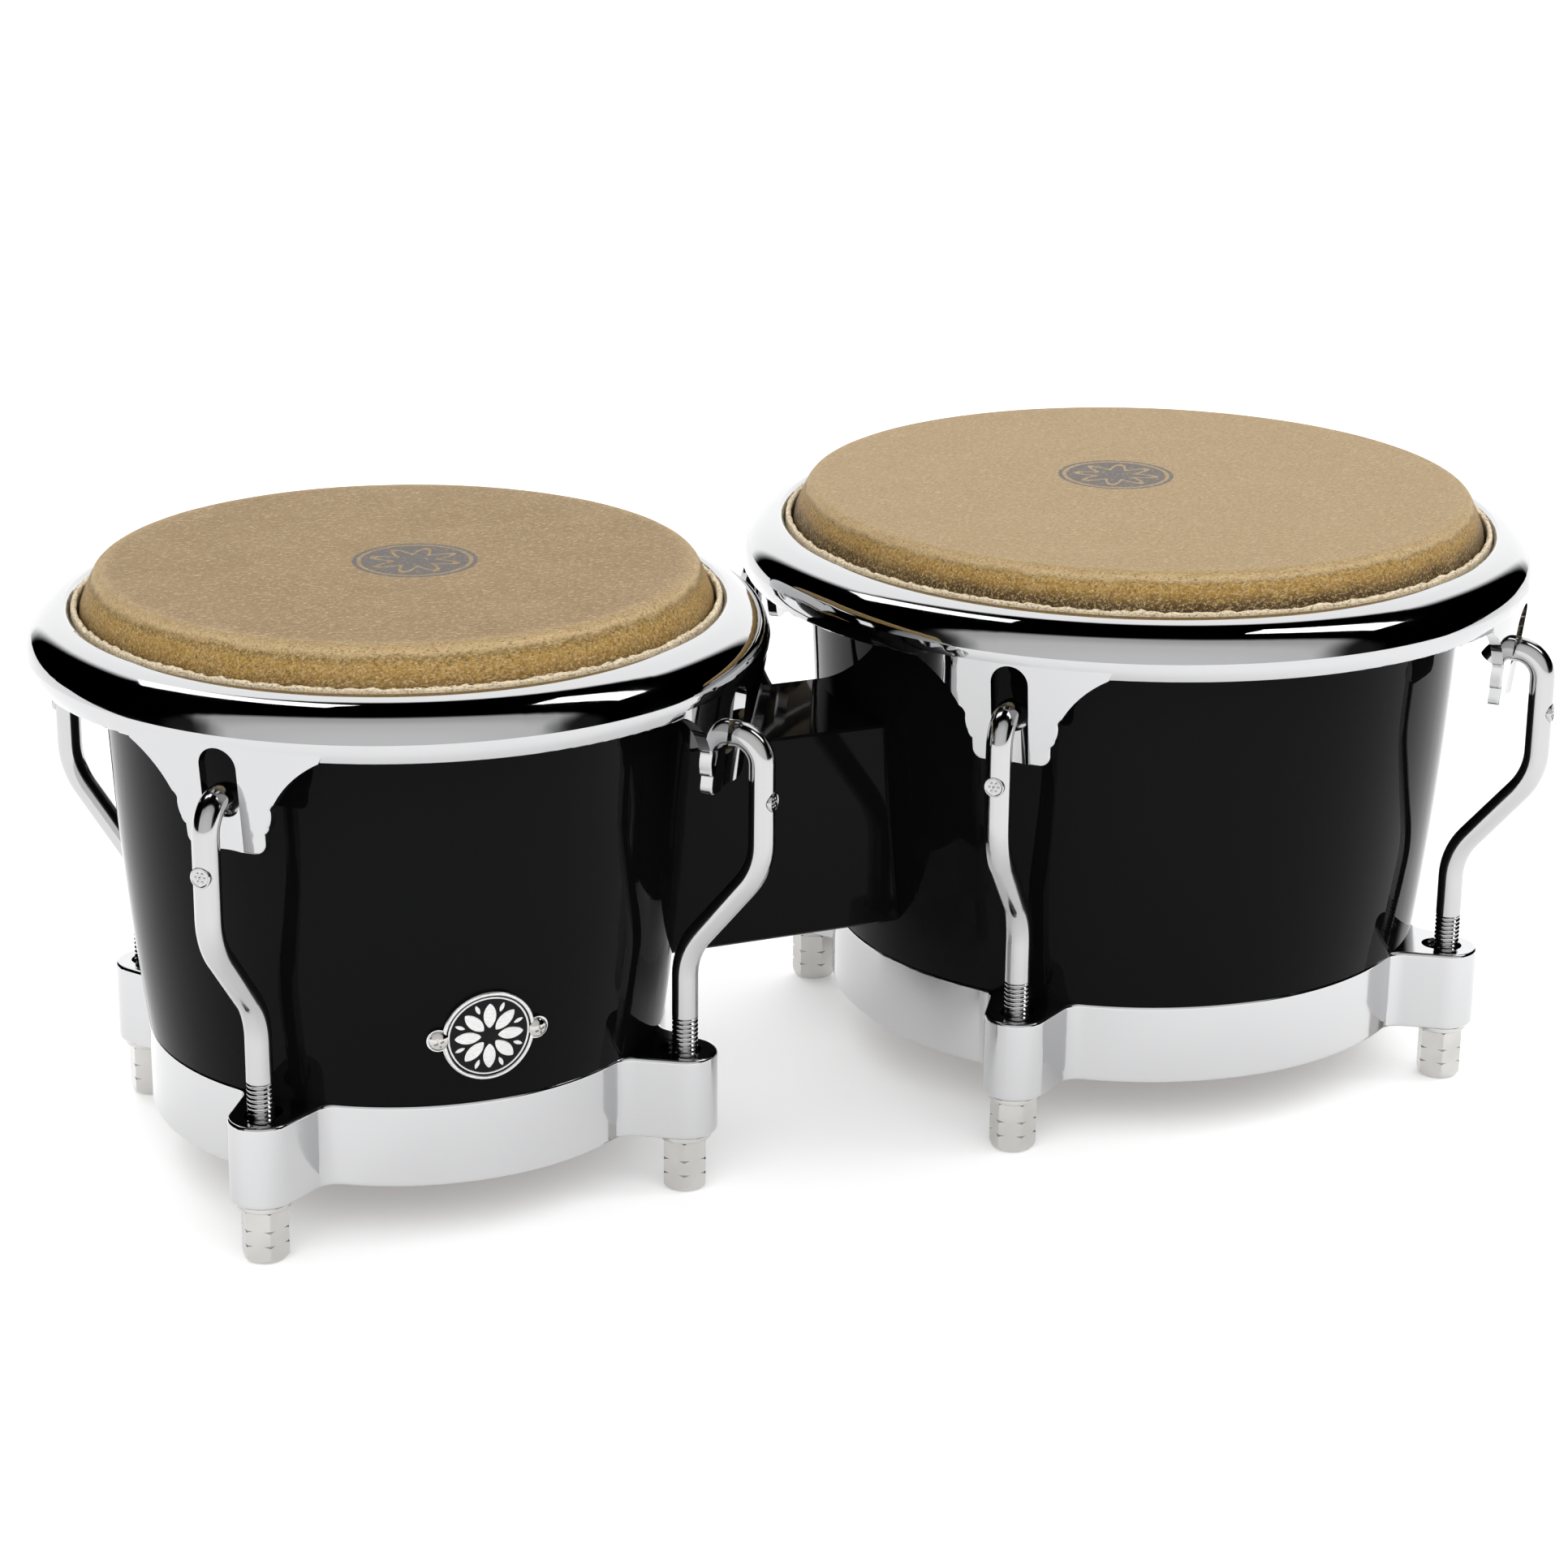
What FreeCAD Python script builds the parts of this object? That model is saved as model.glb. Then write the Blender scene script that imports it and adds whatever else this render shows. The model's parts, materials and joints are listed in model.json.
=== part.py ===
import FreeCAD, Part

import math
import os

import Sketcher

# A pair of bongo drums: a small drum and a large drum joined by a wooden block.
# Each drum is a tapered wooden shell in a cast bottom ring. A hide head is laced
# round a steel flesh hoop, and a cast rim with four ears pulls the hoop down. In
# each ear hangs a J-hook, whose threaded end passes a lug of the bottom ring and
# screws into a long tuning nut. The eight nuts are also the feet.
#
# Frame: millimetres, +Z up, +X from the small drum to the large one. The origin
# is on the floor, under the centre of the overall box.

Vector = FreeCAD.Vector
UP = Vector(0, 0, 1)

# Driving dimensions. Both drums share one section: a radius is written as its
# distance outside (or inside) the radius of the crown, the head's playing edge.
DIMENSIONS = {
    "drum_spacing": 250.0,
    "small_crown_radius": 90.0,
    "large_crown_radius": 106.8,
    "crown_height": 188.4,
    "skin_thickness": 1.5,
    "skin_clearance": 0.3,
    # wooden shell
    "shell_wall": 11.0,
    "shell_foot_height": 22.4,
    "shell_foot_inset": 10.2,
    "shell_top_inset": 0.6,
    "shell_bulge_radius": 1228.0,
    "bearing_round": 3.6,
    # bottom ring
    "ring_low": 19.0,
    "ring_high": 45.0,
    "ring_wall": 3.2,
    "ring_ledge": 13.0,
    "lug_nose_radius": 9.9,
    "lug_root_round": 6.0,
    "ring_edge_round": 1.2,
    "lug_hole_radius": 5.0,
    "lug_hole_stretch": 3.0,
    # hooks, nuts and washers
    "bolt_reach": 3.5,
    "rod_radius": 3.97,
    "thread_core_radius": 3.5,
    "thread_top": 57.0,
    "rod_end": 5.5,
    "hook_offset": 24.5,
    "hook_bend_low": 69.2,
    "hook_bend_radius": 22.0,
    "hook_bend_angle": 39.2,
    "hook_curl_radius": 8.75,
    "hook_curl_height": 139.0,
    "hook_curl_angle": 150.0,
    "nut_flats": 12.7,
    "nut_height": 16.8,
    "nut_bore_radius": 3.56,
    "nut_floor": 1.8,
    "nut_band_low": 5.9,
    "nut_band_high": 10.6,
    "washer_radius": 8.2,
    "washer_bore_radius": 4.3,
    "washer_round": 0.8,
    # flesh hoop and rim
    "hoop_reach": 9.8,
    "hoop_height": 167.2,
    "hoop_rod_radius": 3.2,
    "rim_reach": 21.6,
    "rim_top": 177.4,
    "rim_lip_under": 172.5,
    "rim_skirt_low": 160.4,
    "ear_low": 131.2,
    "ear_high": 165.0,
    "ear_thickness": 3.5,
    "ear_slot_low": 141.2,
    "ear_slot_high": 162.6,
    "ear_slot_width": 11.7,
    "ear_edge_radius": 0.6,
    "ear_groove_depth": 1.3,
    "ear_groove_radius": 14.0,
    # centre block and its bolts
    "block_depth": 53.0,
    "block_low": 59.5,
    "block_high": 126.0,
    "block_chamfer": 0.8,
    "block_end_inset": 12.6,
    "bolt_low": 80.0,
    "bolt_high": 106.0,
    "bolt_shank_radius": 3.0,
    "bolt_head_flats": 10.0,
    "bolt_head_height": 4.2,
    "bolt_seat_inset": 14.0,
    "bolt_bite": 42.0,
    "bolt_washer_radius": 8.5,
    "bolt_washer_thickness": 1.6,
    # badge
    "badge_height": 66.7,
    "badge_radius": 14.1,
    "badge_thickness": 0.9,
    "badge_gap": 0.25,
    "badge_slope": 0.095,
    "badge_screw_spread": 14.9,
    "badge_ear_radius": 3.5,
    "screw_head_radius": 2.9,
    "screw_head_height": 1.7,
    "screw_shank_radius": 1.3,
    "screw_length": 8.0,
}

EAR_AZIMUTHS = (-135.0, -45.0, 45.0, 135.0)
LUG_TAPER = math.radians(12.0)


class Size:
    """A length that knows its value now and the expression that drives it."""

    def __init__(self, value, text):
        self.value = value
        self.text = text

    def __add__(self, other):
        other = size(other)
        return Size(self.value + other.value, "(%s + %s)" % (self.text, other.text))

    def __sub__(self, other):
        other = size(other)
        return Size(self.value - other.value, "(%s - %s)" % (self.text, other.text))

    def __mul__(self, other):
        other = size(other)
        return Size(self.value * other.value, "%s * %s" % (self.text, other.text))

    def __neg__(self):
        return size(0.0) - self


def size(number):
    """A plain number as a Size; a Size is passed on unchanged."""
    if isinstance(number, Size):
        return number
    return Size(float(number), "%.4f" % number)


def dim(alias):
    """The driving dimension of that name."""
    return Size(DIMENSIONS[alias], "Sizes." + alias)


doc = FreeCAD.newDocument("BongoDrums")


def make_sheet():
    """The spreadsheet of driving dimensions, one named cell a row."""
    sheet = doc.addObject("Spreadsheet::Sheet", "Sizes")
    for row, (alias, value) in enumerate(DIMENSIONS.items(), start=1):
        sheet.set("A%d" % row, alias)
        sheet.set("B%d" % row, "%g" % value)
        sheet.setAlias("B%d" % row, alias)
    doc.recompute()


# ---------------------------------------------------------------- shared tools


def drive(thing, prop, value):
    """Bind one property of an object to a Size."""
    thing.setExpression(prop, size(value).text)


def origin_feature(body, role):
    """One of a body's own origin planes or axes."""
    return next(item for item in body.Origin.OriginFeatures if item.Role == role)


def attach(sketch, body, role, lift=None):
    """Lay a sketch on a plane of its own body, lifted along the plane's normal."""
    sketch.AttachmentSupport = (origin_feature(body, role), [""])
    sketch.MapMode = "FlatFace"
    if lift is not None:
        drive(sketch, "AttachmentOffset.Base.z", lift)


def place_vertex(sketch, index, x, y):
    """Fix the start point of one outline side by two driven distances."""
    for kind, value, axis in (("DistanceX", size(x), -2), ("DistanceY", size(y), -1)):
        if value.text == "0.0000":
            sketch.addConstraint(Sketcher.Constraint("PointOnObject", index, point_of[index], axis))
            continue
        number = sketch.addConstraint(
            Sketcher.Constraint(kind, -1, 1, index, point_of[index], value.value)
        )
        sketch.setExpression("Constraints[%d]" % number, value.text)


# Which end of a side is its first point: 1 is the start, 2 the end (a side that
# runs clockwise, because a sketch stores every arc anticlockwise).
point_of = {}


def add_outline(sketch, points):
    """Closed outline. A point is (x, y), or (x, y, radius) for an arc to the next
    point: a positive radius has its centre on the left of travel, a negative one
    on the right. Each arc is the short one."""
    first = sketch.GeometryCount
    count = len(points)
    for number, point in enumerate(points):
        after = points[(number + 1) % count]
        start = Vector(size(point[0]).value, size(point[1]).value, 0)
        end = Vector(size(after[0]).value, size(after[1]).value, 0)
        index = first + number
        if len(point) == 2:
            sketch.addGeometry(Part.LineSegment(start, end), False)
            point_of[index] = 1
            continue
        radius = size(point[2])
        side = 1.0 if radius.value > 0 else -1.0
        along = end - start
        half = along.Length / 2
        rise = math.sqrt(radius.value ** 2 - half ** 2)
        left = Vector(-along.y, along.x, 0).normalize()
        centre = (start + end) * 0.5 + left * rise * side
        begin, finish = (start, end) if side > 0 else (end, start)
        angles = [math.atan2(p.y - centre.y, p.x - centre.x) for p in (begin, finish)]
        circle = Part.Circle(centre, UP, abs(radius.value))
        sketch.addGeometry(Part.ArcOfCircle(circle, angles[0], angles[1]), False)
        point_of[index] = 1 if side > 0 else 2
    for number, point in enumerate(points):
        index = first + number
        nxt = first + (number + 1) % count
        sketch.addConstraint(
            Sketcher.Constraint("Coincident", index, 3 - point_of[index], nxt, point_of[nxt])
        )
        place_vertex(sketch, index, point[0], point[1])
        if len(point) == 3:
            radius = size(point[2])
            text = radius.text if radius.value > 0 else "-1 * (%s)" % radius.text
            bend = sketch.addConstraint(Sketcher.Constraint("Radius", index, abs(radius.value)))
            sketch.setExpression("Constraints[%d]" % bend, text)


def outline_sketch(body, name, role, points, lift=None):
    """A sketch in a body that holds one closed outline."""
    sketch = body.newObject("Sketcher::SketchObject", name)
    attach(sketch, body, role, lift)
    add_outline(sketch, points)
    return sketch


def circle_sketch(body, name, role, x, y, radius, lift=None):
    """A sketch in a body that holds one circle."""
    sketch = body.newObject("Sketcher::SketchObject", name)
    attach(sketch, body, role, lift)
    centre = Vector(size(x).value, size(y).value, 0)
    sketch.addGeometry(Part.Circle(centre, UP, size(radius).value), False)
    point_of[0] = 3
    place_vertex(sketch, 0, x, y)
    number = sketch.addConstraint(Sketcher.Constraint("Radius", 0, size(radius).value))
    sketch.setExpression("Constraints[%d]" % number, size(radius).text)
    return sketch


def new_body(name):
    return doc.addObject("PartDesign::Body", name)


def revolve(body, points, name="Turned"):
    """Turn an outline in the XZ plane once round the body's Z axis."""
    sketch = outline_sketch(body, name + "Outline", "XZ_Plane", points)
    turned = body.newObject("PartDesign::Revolution", name)
    turned.Profile = sketch
    turned.ReferenceAxis = (sketch, ["V_Axis"])
    turned.Angle = 360.0
    return turned


def pad(body, sketch, length, name):
    feature = body.newObject("PartDesign::Pad", name)
    feature.Profile = sketch
    drive(feature, "Length", length)
    return feature


def repeat_round(body, features, count):
    """Repeat features of a body evenly round its Z axis."""
    doc.recompute()
    pattern = body.newObject("PartDesign::PolarPattern", "Round")
    pattern.Originals = features
    pattern.Axis = (origin_feature(body, "Z_Axis"), [""])
    pattern.Angle = 360.0
    pattern.Occurrences = count
    body.Tip = pattern
    doc.recompute()
    return pattern


def cylinder(name, radius, height, base, axis=UP):
    """A driven cylinder whose base circle is centred on base."""
    item = doc.addObject("Part::Cylinder", name)
    drive(item, "Radius", radius)
    drive(item, "Height", height)
    item.Placement = FreeCAD.Placement(base, FreeCAD.Rotation(UP, axis))
    return item


def cut(name, base, tools):
    """One object minus several others."""
    tool = tools[0]
    if len(tools) > 1:
        tool = doc.addObject("Part::MultiFuse", name + "_tools")
        tool.Shapes = tools
    result = doc.addObject("Part::Cut", name)
    result.Base = base
    result.Tool = tool
    return result


def polar(radius, azimuth, height=0.0):
    """A point at a radius and an azimuth in degrees."""
    angle = math.radians(azimuth)
    return Vector(radius * math.cos(angle), radius * math.sin(angle), height)


class Drum:
    """The radii of one drum, its name and where it stands."""

    def __init__(self, name, facing):
        self.name = name
        self.crown = dim(name + "_crown_radius")
        self.facing = facing
        self.ring_radius = self.crown - dim("shell_foot_inset")
        self.bolt_radius = self.crown + dim("bolt_reach")
        reach_small = dim("small_crown_radius") + dim("rim_reach")
        reach_large = dim("large_crown_radius") + dim("rim_reach")
        half_box = (dim("drum_spacing") + reach_small + reach_large) * 0.5
        if facing > 0:
            self.centre_x = reach_small - half_box
        else:
            self.centre_x = half_box - reach_large
        self.centre = Vector(self.centre_x.value, 0, 0)

    def label(self, part):
        return "%s_%s" % (self.name, part)

    def stand(self, thing, azimuth=0.0):
        """Put an object made on the drum's own axis in its place."""
        thing.Placement = FreeCAD.Placement(self.centre, FreeCAD.Rotation(UP, azimuth))
        drive(thing, "Placement.Base.x", self.centre_x)


# ------------------------------------------------------------------- wood


def shell_outline(drum):
    """Section of the turned shell: rebated foot, slow outward curve, bearing edge."""
    foot = drum.ring_radius - dim("ring_wall")
    outer_low = drum.ring_radius
    outer_top = drum.crown - dim("shell_top_inset")
    bearing = outer_top - dim("bearing_round")
    bearing_top = dim("crown_height") - dim("skin_thickness") - dim("skin_clearance")
    shoulder = bearing_top - dim("bearing_round")
    wall = dim("shell_wall")
    bulge = dim("shell_bulge_radius")
    bevel = 5.0
    return [
        (outer_low - wall, dim("shell_foot_height")),
        (foot, dim("shell_foot_height")),
        (foot, dim("ring_high")),
        (outer_low, dim("ring_high"), bulge),
        (outer_top, shoulder, dim("bearing_round")),
        (bearing, bearing_top),
        (bearing - 1.4, bearing_top),
        (outer_top - wall, bearing_top - bevel, -(bulge - wall)),
        (outer_low - wall, dim("ring_high")),
    ]


def turned_shell(drum):
    body = new_body(drum.label("shell_blank"))
    revolve(body, shell_outline(drum))
    drum.stand(body)
    return body


def bolt_axes(drum):
    """Centre lines of the two bolts that hold a shell to the block."""
    return [Vector(drum.centre.x, 0, DIMENSIONS[key]) for key in ("bolt_low", "bolt_high")]


def shell(drum, blank):
    """The shell, drilled for its block bolts and, on the small one, the badge."""
    outward = Vector(drum.facing, 0, 0)
    drills = []
    for number, centre in enumerate(bolt_axes(drum), start=1):
        seat = drum.crown - dim("bolt_seat_inset")
        name = drum.label("drill_%d" % number)
        drills.append(cylinder(name, dim("bolt_shank_radius"), drum.crown, centre, outward))
        drills.append(cylinder(name + "_seat", dim("bolt_washer_radius") + 0.6, seat, centre, outward))
    if drum.name == "small":
        for number, azimuth in enumerate(screw_azimuths(drum), start=1):
            outward = screw_direction(azimuth)
            start = drum.centre + screw_seat(drum, azimuth) - outward * DIMENSIONS["screw_length"]
            name = drum.label("drill_badge_%d" % number)
            drills.append(cylinder(name, dim("screw_shank_radius"), 20.0, start, outward))
    return cut(drum.label("shell"), blank, drills)


def centre_block(drums, blanks):
    """The block between the shells: a chamfered box hollowed to fit both of them."""
    small, large = drums
    box = doc.addObject("Part::Box", "block_blank")
    start = small.centre_x + small.crown - dim("block_end_inset")
    end = large.centre_x - large.crown + dim("block_end_inset")
    drive(box, "Length", end - start)
    drive(box, "Width", dim("block_depth"))
    drive(box, "Height", dim("block_high") - dim("block_low"))
    drive(box, "Placement.Base.x", start)
    drive(box, "Placement.Base.y", dim("block_depth") * -0.5)
    drive(box, "Placement.Base.z", dim("block_low"))
    doc.recompute()
    eased = doc.addObject("Part::Chamfer", "block_eased")
    eased.Base = box
    width = DIMENSIONS["block_chamfer"]
    long_edges = []
    for number, edge in enumerate(box.Shape.Edges, start=1):
        if abs(edge.tangentAt(edge.FirstParameter).x) > 0.9:
            long_edges.append((number, width, width))
    eased.Edges = long_edges
    drills = []
    for drum in drums:
        for number, centre in enumerate(bolt_axes(drum), start=1):
            reach = drum.crown - dim("bolt_seat_inset") + dim("bolt_bite") - dim("bolt_washer_thickness")
            name = drum.label("pilot_%d" % number)
            outward = Vector(drum.facing, 0, 0)
            drills.append(cylinder(name, dim("bolt_shank_radius"), reach, centre, outward))
    return cut("centre_block", eased, blanks + drills)


# ------------------------------------------------------------------- bottom ring


def bottom_ring(drum):
    """Cast ring under the shell, with an inner ledge and four lugs."""
    outer = drum.ring_radius
    inner = outer - dim("ring_wall")
    low = dim("ring_low")
    high = dim("ring_high")
    ledge_top = dim("shell_foot_height")
    body = new_body(drum.label("bottom_ring"))
    revolve(body, [
        (outer - dim("ring_ledge"), low),
        (outer, low),
        (outer, high),
        (inner, high),
        (inner, ledge_top),
        (outer - dim("ring_ledge"), ledge_top),
    ])
    bolt = drum.bolt_radius
    nose = dim("lug_nose_radius")
    flank_x = bolt + nose * math.sin(LUG_TAPER)
    flank_y = nose * math.cos(LUG_TAPER)
    root_x = outer - 2.2
    root_y = flank_y + (flank_x - root_x) * math.tan(LUG_TAPER)
    outline = outline_sketch(body, "LugOutline", "XY_Plane", [
        (root_x, -root_y),
        (flank_x, -flank_y, nose),
        (bolt + nose, 0.0, nose),
        (flank_x, flank_y),
        (root_x, root_y),
    ], lift=low)
    lug = pad(body, outline, high - low, "Lug")
    doc.recompute()
    hole = dim("lug_hole_radius")
    stretch = dim("lug_hole_stretch")
    slot = outline_sketch(body, "SlotOutline", "XY_Plane", [
        (bolt - stretch, -hole),
        (bolt, -hole, hole + 0.01),
        (bolt + hole, 0.0, hole + 0.01),
        (bolt, hole),
        (bolt - stretch, hole, hole + 0.01),
        (bolt - stretch - hole, 0.0, hole + 0.01),
    ], lift=low)
    drilled = body.newObject("PartDesign::Pocket", "RodSlot")
    drilled.Profile = slot
    drilled.Type = "ThroughAll"
    drilled.Midplane = True
    repeat_round(body, [lug, drilled], 4)
    round_ring_edges(body, drum)
    drum.stand(body, 45.0)
    return body


def round_edges(body, name, chosen, radius):
    """Round every edge of a body that the test called chosen accepts."""
    names = []
    for number, edge in enumerate(body.Shape.Edges, start=1):
        middle = edge.valueAt((edge.FirstParameter + edge.LastParameter) / 2)
        if chosen([vertex.Point for vertex in edge.Vertexes] + [middle]):
            names.append("Edge%d" % number)
    rough = body.Tip
    fillet = body.newObject("PartDesign::Fillet", name)
    fillet.Base = (rough, names)
    drive(fillet, "Radius", radius)
    doc.recompute()


def round_ring_edges(body, drum):
    """Blend the lugs into the ring, then break the outer top and bottom edges."""
    outer = drum.ring_radius.value
    levels = (DIMENSIONS["ring_low"], DIMENSIONS["ring_high"])
    bolts = [polar(drum.bolt_radius.value, turn) for turn in (0.0, 90.0, 180.0, 270.0)]

    def root(points):
        upright = abs(points[0].x - points[-1].x) + abs(points[0].y - points[-1].y) < 0.01
        return upright and all(abs(math.hypot(p.x, p.y) - outer) < 0.05 for p in points)

    def rim_edge(points):
        middle = Vector(points[-1].x, points[-1].y, 0)
        level = any(all(abs(p.z - z) < 0.01 for p in points) for z in levels)
        outside = min(math.hypot(p.x, p.y) for p in points) > outer - 0.3
        return level and outside and min((middle - bolt).Length for bolt in bolts) > 8.5

    round_edges(body, "LugRoots", root, dim("lug_root_round"))
    round_edges(body, "BrokenEdges", rim_edge, dim("ring_edge_round"))


# ------------------------------------------------------------------- head


def head_skin(drum):
    """The hide: flat crown, flared collar, a turn round the hoop and a short tail."""
    crown = drum.crown
    top = dim("crown_height")
    thick = dim("skin_thickness")
    hoop = crown + dim("hoop_reach")
    level = dim("hoop_height")
    inside = dim("hoop_rod_radius") + dim("skin_clearance")
    outside = inside + thick
    body = new_body(drum.label("head_skin"))
    revolve(body, [
        (0.0, top - thick),
        (crown - 2.6, top - thick, -2.6),
        (crown - 0.7, top - 3.2),
        (crown + 2.8, top - 10.9),
        (crown + 3.8, top - 17.5),
        (hoop - outside, level, outside),
        (hoop, level - outside, outside),
        (hoop + outside, level, outside),
        (hoop, level + outside),
        (crown + 7.0, level + outside),
        (crown + 6.8, top - 11.8),
        (crown + 5.4, top - 11.8),
        (crown + 6.0, level + inside + 0.9),
        (crown + 7.3, level + inside),
        (hoop, level + inside, -inside),
        (hoop + inside, level, -inside),
        (hoop, level - inside, -inside),
        (hoop - inside, level),
        (crown + 5.3, top - 17.5),
        (crown + 4.3, top - 10.9, 60.0),
        (crown + 0.6, top - 2.6, 3.4),
        (crown - 2.6, top),
        (0.0, top),
    ])
    drum.stand(body)
    return body


def flesh_hoop(drum):
    """The steel ring that the hide is laced round."""
    hoop = doc.addObject("Part::Torus", drum.label("flesh_hoop"))
    drive(hoop, "Radius1", drum.crown + dim("hoop_reach"))
    drive(hoop, "Radius2", dim("hoop_rod_radius"))
    drum.stand(hoop)
    drive(hoop, "Placement.Base.z", dim("hoop_height"))
    return hoop


# ------------------------------------------------------------------- rim


def chain(points):
    """Closed wire. A point is (x, y, z) as a Vector, or a pair of Vectors for an
    arc: the point it starts at and a point that it passes."""
    edges = []
    for number, item in enumerate(points):
        after = points[(number + 1) % len(points)]
        end = after[0] if isinstance(after, tuple) else after
        if isinstance(item, tuple):
            edges.append(Part.Arc(item[0], item[1], end).toShape())
        else:
            edges.append(Part.LineSegment(item, end).toShape())
    return Part.Wire(edges)


def radial(radius, height):
    return Vector(radius, 0, height)


def rim_section(crown):
    """Section of the rim: a lip over the hoop, a round shoulder and a short skirt."""
    top = DIMENSIONS["rim_top"]
    under = DIMENSIONS["rim_lip_under"]
    skirt = DIMENSIONS["rim_skirt_low"]
    widest = crown + DIMENSIONS["rim_reach"]
    return chain([
        radial(crown + 7.6, under + 0.8),
        (radial(crown + 7.6, top - 1.9), radial(crown + 8.1, top - 0.6)),
        (radial(crown + 9.5, top), radial(crown + 17.6, top - 3.4)),
        (radial(widest, top - 11.0), radial(widest - 0.35, top - 14.0)),
        (radial(widest - 1.4, skirt + 0.5), radial(widest - 1.9, skirt)),
        radial(widest - 2.5, skirt),
        (radial(widest - 4.4, skirt), radial(widest - 5.0, skirt + 0.6)),
        radial(widest - 4.9, skirt + 1.2),
        (radial(widest - 4.6, skirt + 8.0), radial(widest - 5.6, under - 1.0)),
        radial(crown + 14.0, under),
        (radial(crown + 8.4, under), radial(crown + 7.8, under + 0.3)),
    ])


def ear_outline(reach):
    """Front view of an ear, in the plane x = reach: rounded foot, two small steps
    on each side, then a sweep out to the skirt."""
    low = DIMENSIONS["ear_low"]
    high = DIMENSIONS["ear_high"]

    def at(y, z):
        return Vector(reach, y, z)

    side = [
        (at(9.0, low), at(11.4, low + 1.0)),
        at(12.4, low + 3.4),
        (at(12.5, low + 6.4), at(13.3, low + 7.1)),
        (at(13.9, low + 8.6), at(14.7, low + 11.2)),
        (at(14.7, low + 14.0), at(15.2, low + 15.0)),
        (at(15.8, low + 15.6), at(21.2, low + 23.0)),
        at(29.8, DIMENSIONS["rim_skirt_low"] + 0.2),
        at(31.5, high),
    ]
    points = list(side)
    # the other side is the same walk mirrored and reversed
    ends = [item[0] if isinstance(item, tuple) else item for item in side]
    passes = [item[1] if isinstance(item, tuple) else None for item in side]

    def mirrored(point):
        return Vector(point.x, -point.y, point.z)

    for number in range(len(side) - 1, -1, -1):
        start = mirrored(ends[number])
        middle = passes[number - 1] if number > 0 else None
        points.append((start, mirrored(middle)) if middle else start)
    return chain(points)


def ear(crown):
    """One ear, hanging at azimuth 0: a piece of conical plate, and the tools that
    cut its round-ended slot for the hook and the shallow groove below it."""
    thickness = DIMENSIONS["ear_thickness"]
    high = DIMENSIONS["ear_high"]
    low = DIMENSIONS["ear_low"]
    face_high = crown + 21.4
    face_low = crown + 17.3
    plate = Part.Face(chain([
        radial(face_low, low - 1.0),
        radial(face_high, high),
        radial(face_high - thickness, high),
        radial(face_low - thickness, low - 1.0),
    ])).revolve(Vector(0, 0, 0), UP, 60.0)
    plate.rotate(Vector(0, 0, 0), UP, -30.0)
    reach = crown
    front = Part.Face(ear_outline(reach)).extrude(Vector(40, 0, 0))
    body = plate.common(front)
    half = DIMENSIONS["ear_slot_width"] / 2
    slot_low = DIMENSIONS["ear_slot_low"] + half
    slot_high = DIMENSIONS["ear_slot_high"] - half
    slot = Part.Face(chain([
        Vector(reach, half, slot_low),
        (Vector(reach, half, slot_high), Vector(reach, 0, slot_high + half)),
        Vector(reach, -half, slot_high),
        (Vector(reach, -half, slot_low), Vector(reach, 0, slot_low - half)),
    ])).extrude(Vector(40, 0, 0))
    groove_radius = DIMENSIONS["ear_groove_radius"]
    lean = Vector(face_high - face_low, 0, high - low + 1.0).normalize()
    outward = groove_radius - DIMENSIONS["ear_groove_depth"]
    foot = Vector(face_low + outward, 0, low - 1.0) - lean * 3.0
    groove = Part.makeCylinder(groove_radius, slot_low - low + 4.0, foot, lean)
    front = max((face for face in body.Faces if isinstance(face.Surface, Part.Cone)),
                key=lambda face: math.hypot(face.CenterOfMass.x, face.CenterOfMass.y))
    # the casting's front edges are eased, except where the ear runs into the skirt
    free = [edge for edge in front.Edges
            if edge.BoundBox.ZMax < high - 0.5 and edge.BoundBox.YMax < 29.0
            and edge.BoundBox.YMin > -29.0]
    body = body.makeFillet(DIMENSIONS["ear_edge_radius"], free)
    return body, (slot, groove)


def rim(drum):
    """The cast rim: its turned section and four ears, each slotted right through
    the skirt behind it."""
    crown = drum.crown.value
    ring = Part.Face(rim_section(crown)).revolve(Vector(0, 0, 0), UP, 360.0)
    ears = []
    tools = []
    plate, cutters = ear(crown)
    for azimuth in EAR_AZIMUTHS:
        for source, group in ((plate, ears), (cutters[0], tools), (cutters[1], tools)):
            piece = source.copy()
            piece.rotate(Vector(0, 0, 0), UP, azimuth)
            group.append(piece)
    casting = Part.Solid(ring).multiFuse(ears).removeSplitter()
    result = doc.addObject("Part::Feature", drum.label("rim"))
    result.Shape = casting.cut(tools).Solids[0]
    drum.stand(result)
    return result


# ------------------------------------------------------------------- hooks and nuts


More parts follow.
